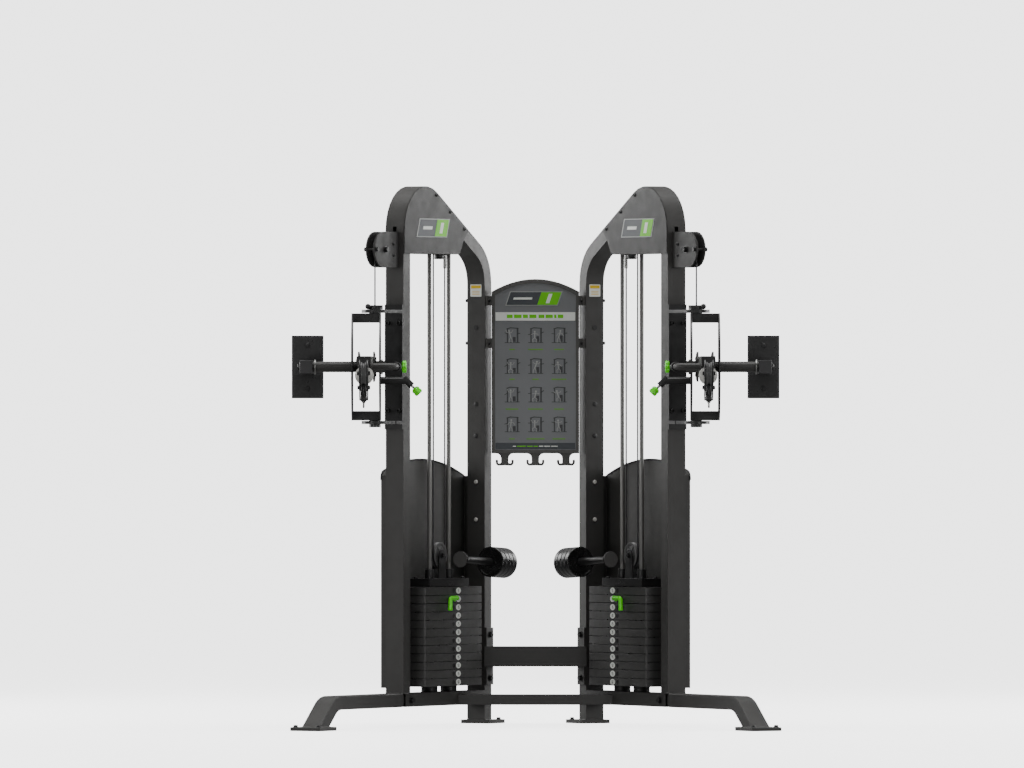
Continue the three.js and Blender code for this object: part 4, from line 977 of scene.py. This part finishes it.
def shroud_edge(side):
    """A black rubber edging along the shroud's arched top."""
    front, rear, front_high, rear_high, crown = -22, -645, 962, 940, 1003
    control = 2 * crown - (front_high + rear_high) / 2
    wall = -76.5
    points = [(-7, wall, 930), (-7, wall, 941), (-9, wall, 950), (-14, wall, 958)]
    for i in range(31):
        t = i / 30
        z = (1 - t) ** 2 * front_high + 2 * t * (1 - t) * control + t * t * rear_high
        points.append((front + (rear - front) * t, wall, z))
    geo = Geo()
    for across in (2.6, -2.6):
        geo.add(sweep([(x, y + across, z - 4.5) for x, y, z in points], 1.5, 8))
    geo.add(sweep([(x, y, z - 1.2) for x, y, z in points], 2.6, 10))
    piece(side, "shroud_edging", geo, RUBBER, sharp=60)


# ---- exercise board ----
def stroke(points, width):
    """Thin printed bars along a polyline in (x, y)."""
    geo = Geo()
    for (ax, ay), (bx, by) in zip(points, points[1:]):
        length = hypot(bx - ax, by - ay)
        dx, dy = (bx - ax) / length * width / 2, (by - ay) / length * width / 2
        outline = [(ax - dx - dy, ay - dy + dx), (ax - dx + dy, ay - dy - dx),
                   (bx + dx + dy, by + dy - dx), (bx + dx - dy, by + dy + dx)]
        geo.add(prism(outline, 0, 0.4))
    return geo.verts, geo.faces


def machine_pictogram(index):
    """A small dark outline of a two-post machine with its stack, for one exercise."""
    geo = Geo()
    geo.add(stroke([(-17, -25), (-17, 25)], 4.5))
    geo.add(stroke([(21, -25), (21, 25)], 6))
    geo.add(stroke([(-19, 25), (-6, 29), (23, 27)], 3.4))
    geo.add(stroke([(-26, -27), (28, -27)], 2.4))
    geo.add(box((3, -24, 0), (14, -6 + 3 * (index % 3), 0.4)))
    geo.add(stroke([(21, 8), (30, 8 + (index * 5) % 9)], 3.0))
    geo.add(stroke([(-17, 6), (-27, 10 - (index * 7) % 11)], 2.4))
    return geo.verts, geo.faces


def figure_pictogram(index):
    """A plain pale stick figure, in a different pose for each exercise."""
    geo = Geo()
    lean = (-5, 0, 5, 0, 7, -3, 0, 4, -6, 2, 0, -2)[index]
    reach = (14, 4, -8, 18, 10, -2, 16, 6, 12, -6, 18, 8)[index]
    squat = (0, 6, 0, 9, 0, 4, 0, 8, 5, 0, 7, 2)[index]
    middle = -5 + index % 3 * 2
    hip = (middle, -6 - squat / 2)
    neck = (middle + lean, 11 - squat / 2)
    geo.add(stroke([hip, neck], 3.6))
    geo.add(prism(circle(middle + lean * 1.2, 17 - squat / 2, 3.4, 16), 0, 0.4))
    for way in (-1, 1):
        knee = (middle + way * (5 + squat * 0.5), -15 - squat * 0.1)
        geo.add(stroke([hip, knee, (middle + way * 6, -26)], 1.9))
        elbow = (middle + lean + way * 8, 8 + reach * 0.15 - squat / 2)
        geo.add(stroke([neck, elbow, (middle + lean + way * 13, 6 + reach - squat)], 1.7))
    return geo.verts, geo.faces


def board_arch(half, low, shoulder, crown, steps=40):
    """The board's outline: straight sides and a shallow arched top."""
    points = [(-half, low), (half, low)]
    for i in range(steps + 1):
        t = i / steps
        points.append((half - 2 * half * t, shoulder + (crown - shoulder) * 4 * t * (1 - t)))
    return points


def exercise_board():
    front = 521.9
    face = MACHINE @ Matrix(((1, 0, 0, 0), (0, 0, -1, front), (0, 1, 0, 0), (0, 0, 0, 1)))

    def show(name, geo, material, bevel=0.0):
        make_piece(f"board_{name}", geo, material, "base", face, bevel)

    outer = board_arch(164.5, 1024.5, 1635, 1682.5)
    inner = board_arch(153.5, 1036, 1622, 1668)
    show("rim", prism(outer, -5.4, 3.2, [inner]), BOARD_PAINT, 1.2)
    show("badge_rim", prism(leaning(-105, 94, 1583, 1637), 0, 0.6), PALE_PRINT)
    show("badge_field", prism(leaning(-101.5, 90.5, 1586, 1634), 0.5, 1.0), DARK_PRINT)
    show("badge_green", prism(leaning(15, 90.5, 1586, 1634), 0.9, 1.4), GREEN_PRINT)
    marks = Geo().add(prism(leaning(-83, -12, 1606, 1614), 0.9, 1.4))
    marks.add(prism(leaning(45, 59, 1592, 1628), 1.3, 1.8))
    show("badge_bars", marks, OFF_WHITE)
    show("band", prism(rounded(-151, 1526, 151, 1558, 1), 0, 0.6), OFF_WHITE)
    title = Geo()
    for left, right in ((-108, -86), (-81, -52), (-47, -28), (-23, 4), (12, 34), (39, 66), (71, 80),
                        (85, 106)):
        title.add(box((left, 1536, 0.6), (right, 1549, 0.9)))
    show("band_blocks", title, GREEN_PRINT)
    machines, figures, bars = Geo(), Geo(), Geo()
    rows = ((1470, 1415), (1353, 1302), (1245, 1189), (1132, 1076))
    bar_halves = (10, 28, 18, 10, 12, 28, 24, 28, 18, 10, 34, 24)
    for index, half in enumerate(bar_halves):
        middle, low = rows[index // 3]
        x = -88.5 + index % 3 * 89
        at = move((x, middle, 0))
        machines.add(machine_pictogram(index), at)
        figures.add(figure_pictogram(index), at @ move((0, 0, 0.3)))
        bars.add(box((x - half, low, 0), (x + half, low + 4, 0.5)))
    show("machines", machines, BLACK_PRINT)
    show("figures", figures, PALE_PRINT)
    show("bars", bars, DULL_GREEN)
    show("foot_strip", prism(rounded(-151, 1039, 151, 1063, 1), 0, 0.5), DARK_PRINT)
    for name, material, spans in (
            ("foot_bars", OFF_WHITE, ((-85, 11), (14, 16), (34, 22), (60, 25))),
            ("foot_green_bars", GREEN_PRINT, ((-70, 34), (-32, 22), (-6, 16)))):
        foot = Geo()
        for x, length in spans:
            foot.add(box((x, 1048.5, 0.5), (x + length, 1052, 0.8)))
        show(name, foot, material)


def hook_coating():
    """Dipped coating on the six hook arms under the board."""
    geo = Geo()
    y, bend = 530.5, 9.75
    tip = lathe([(0, -5.2), (3, -4.3), (5.2, 0), (4.6, 2.8), (2.6, 4.6), (0, 5.2)], 20)
    for middle in (-116, 0, 116):
        for way in (-1, 1):
            points = [(middle + way * 13, y, 982.4)]
            for heading in range(-75, 1, 15):
                angle = radians(heading)
                points.append((middle + way * (20 + bend * cos(angle)), y, 990 + bend * sin(angle)))
            points.append((middle + way * 29.75, y, 994))
            geo.add(sweep(points, 4.5, 14))
            geo.add(tip, move(points[-1]))
    make_piece("board_hook_coating", geo, BOARD_PAINT, "base", MACHINE, sharp=60)


for side in ("left", "right"):
    for build in (tower_bolts, housing_bolts, arm_bolts, head_bolts, stack_plates, stack_labels,
                  guide_rods, cable, pulleys, controls, selector_pin, grip, counterweight_face,
                  discs_on_horn, cable_end, welds, cover_badge, post_label, horn_sleeve,
                  shroud_edge):
        build(side)
exercise_board()
hook_coating()


# ---- stage, light and camera ----
def backdrop():
    """A pale studio: a floor that curves up into a wall all round, seen only by the camera."""
    flat, bend, floor = 62.0, 16.0, -0.0005
    profile = [(0.0, floor), (flat, floor)]
    profile += [(flat + bend * sin(radians(a)), bend - bend * cos(radians(a)))
                for a in range(6, 91, 6)]
    profile += [(flat + bend, 60.0), (0.0, 90.0)]
    verts, faces = lathe(profile, 96)
    mesh = bpy.data.meshes.new("studio_floor")
    mesh.from_pydata(verts, [], faces)
    mesh.shade_smooth()
    mat = surface("pale_floor", (0.86, 0.86, 0.86), 0.6, 0.01, 0.04, 300, 0.02)
    shader = mat.node_tree.nodes["Principled BSDF"]
    shader.inputs["Emission Color"].default_value = (1, 1, 1, 1)
    shader.inputs["Emission Strength"].default_value = 3.0
    mesh.materials.append(mat)
    obj = bpy.data.objects.new("studio_floor", mesh)
    obj.visible_diffuse = False
    obj.visible_glossy = False
    obj.visible_shadow = False
    bpy.context.collection.objects.link(obj)


def softbox(name, where, target, width, height, power):
    """A soft rectangular light, aimed at a target; sizes in metres, power in watts."""
    light = bpy.data.lights.new(name, "AREA")
    light.shape = "RECTANGLE"
    light.size = width
    light.size_y = height
    light.energy = power
    obj = bpy.data.objects.new(name, light)
    turn = (Vector(target) - Vector(where)).to_track_quat("-Z", "Y").to_matrix().to_4x4()
    obj.matrix_world = move(where) @ turn
    bpy.context.collection.objects.link(obj)


backdrop()
world = bpy.data.worlds.new("studio_world")
world.use_nodes = True
background = world.node_tree.nodes["Background"]
background.inputs["Color"].default_value = (1, 1, 1, 1)
background.inputs["Strength"].default_value = 0.30
bpy.context.scene.world = world
softbox("front", (0, -7.0, 2.6), (0, 0, 1.0), 2.4, 2.4, 22)
softbox("top", (0, 0.3, 5.2), (0, 0, 1.0), 3.6, 3.0, 150)
for side, way in (("left", -1), ("right", 1)):
    softbox(f"side_{side}", (way * 6.0, 2.0, 2.4), (0, 0.3, 1.0), 3.0, 3.6, 290)
    softbox(f"low_{side}", (way * 3.4, -4.6, 0.5), (0, 0, 0.2), 2.0, 0.6, 45)
    softbox(f"rim_{side}", (way * 3.6, 4.2, 2.8), (0, 0.2, 1.3), 1.4, 3.0, 90)

CAMERA_AWAY, VIEW_WIDTH = 50, 3.84
camera_data = bpy.data.cameras.new("camera")
camera_data.sensor_width = 36
camera_data.lens = camera_data.sensor_width * CAMERA_AWAY / VIEW_WIDTH
camera_data.clip_end = 200
camera_data.dof.use_dof = False
camera = bpy.data.objects.new("camera", camera_data)
camera.location = (-0.0885, SHIFT / 1000 - CAMERA_AWAY, 1.286)
camera.rotation_euler = (pi / 2, 0, 0)
bpy.context.collection.objects.link(camera)
bpy.context.scene.camera = camera
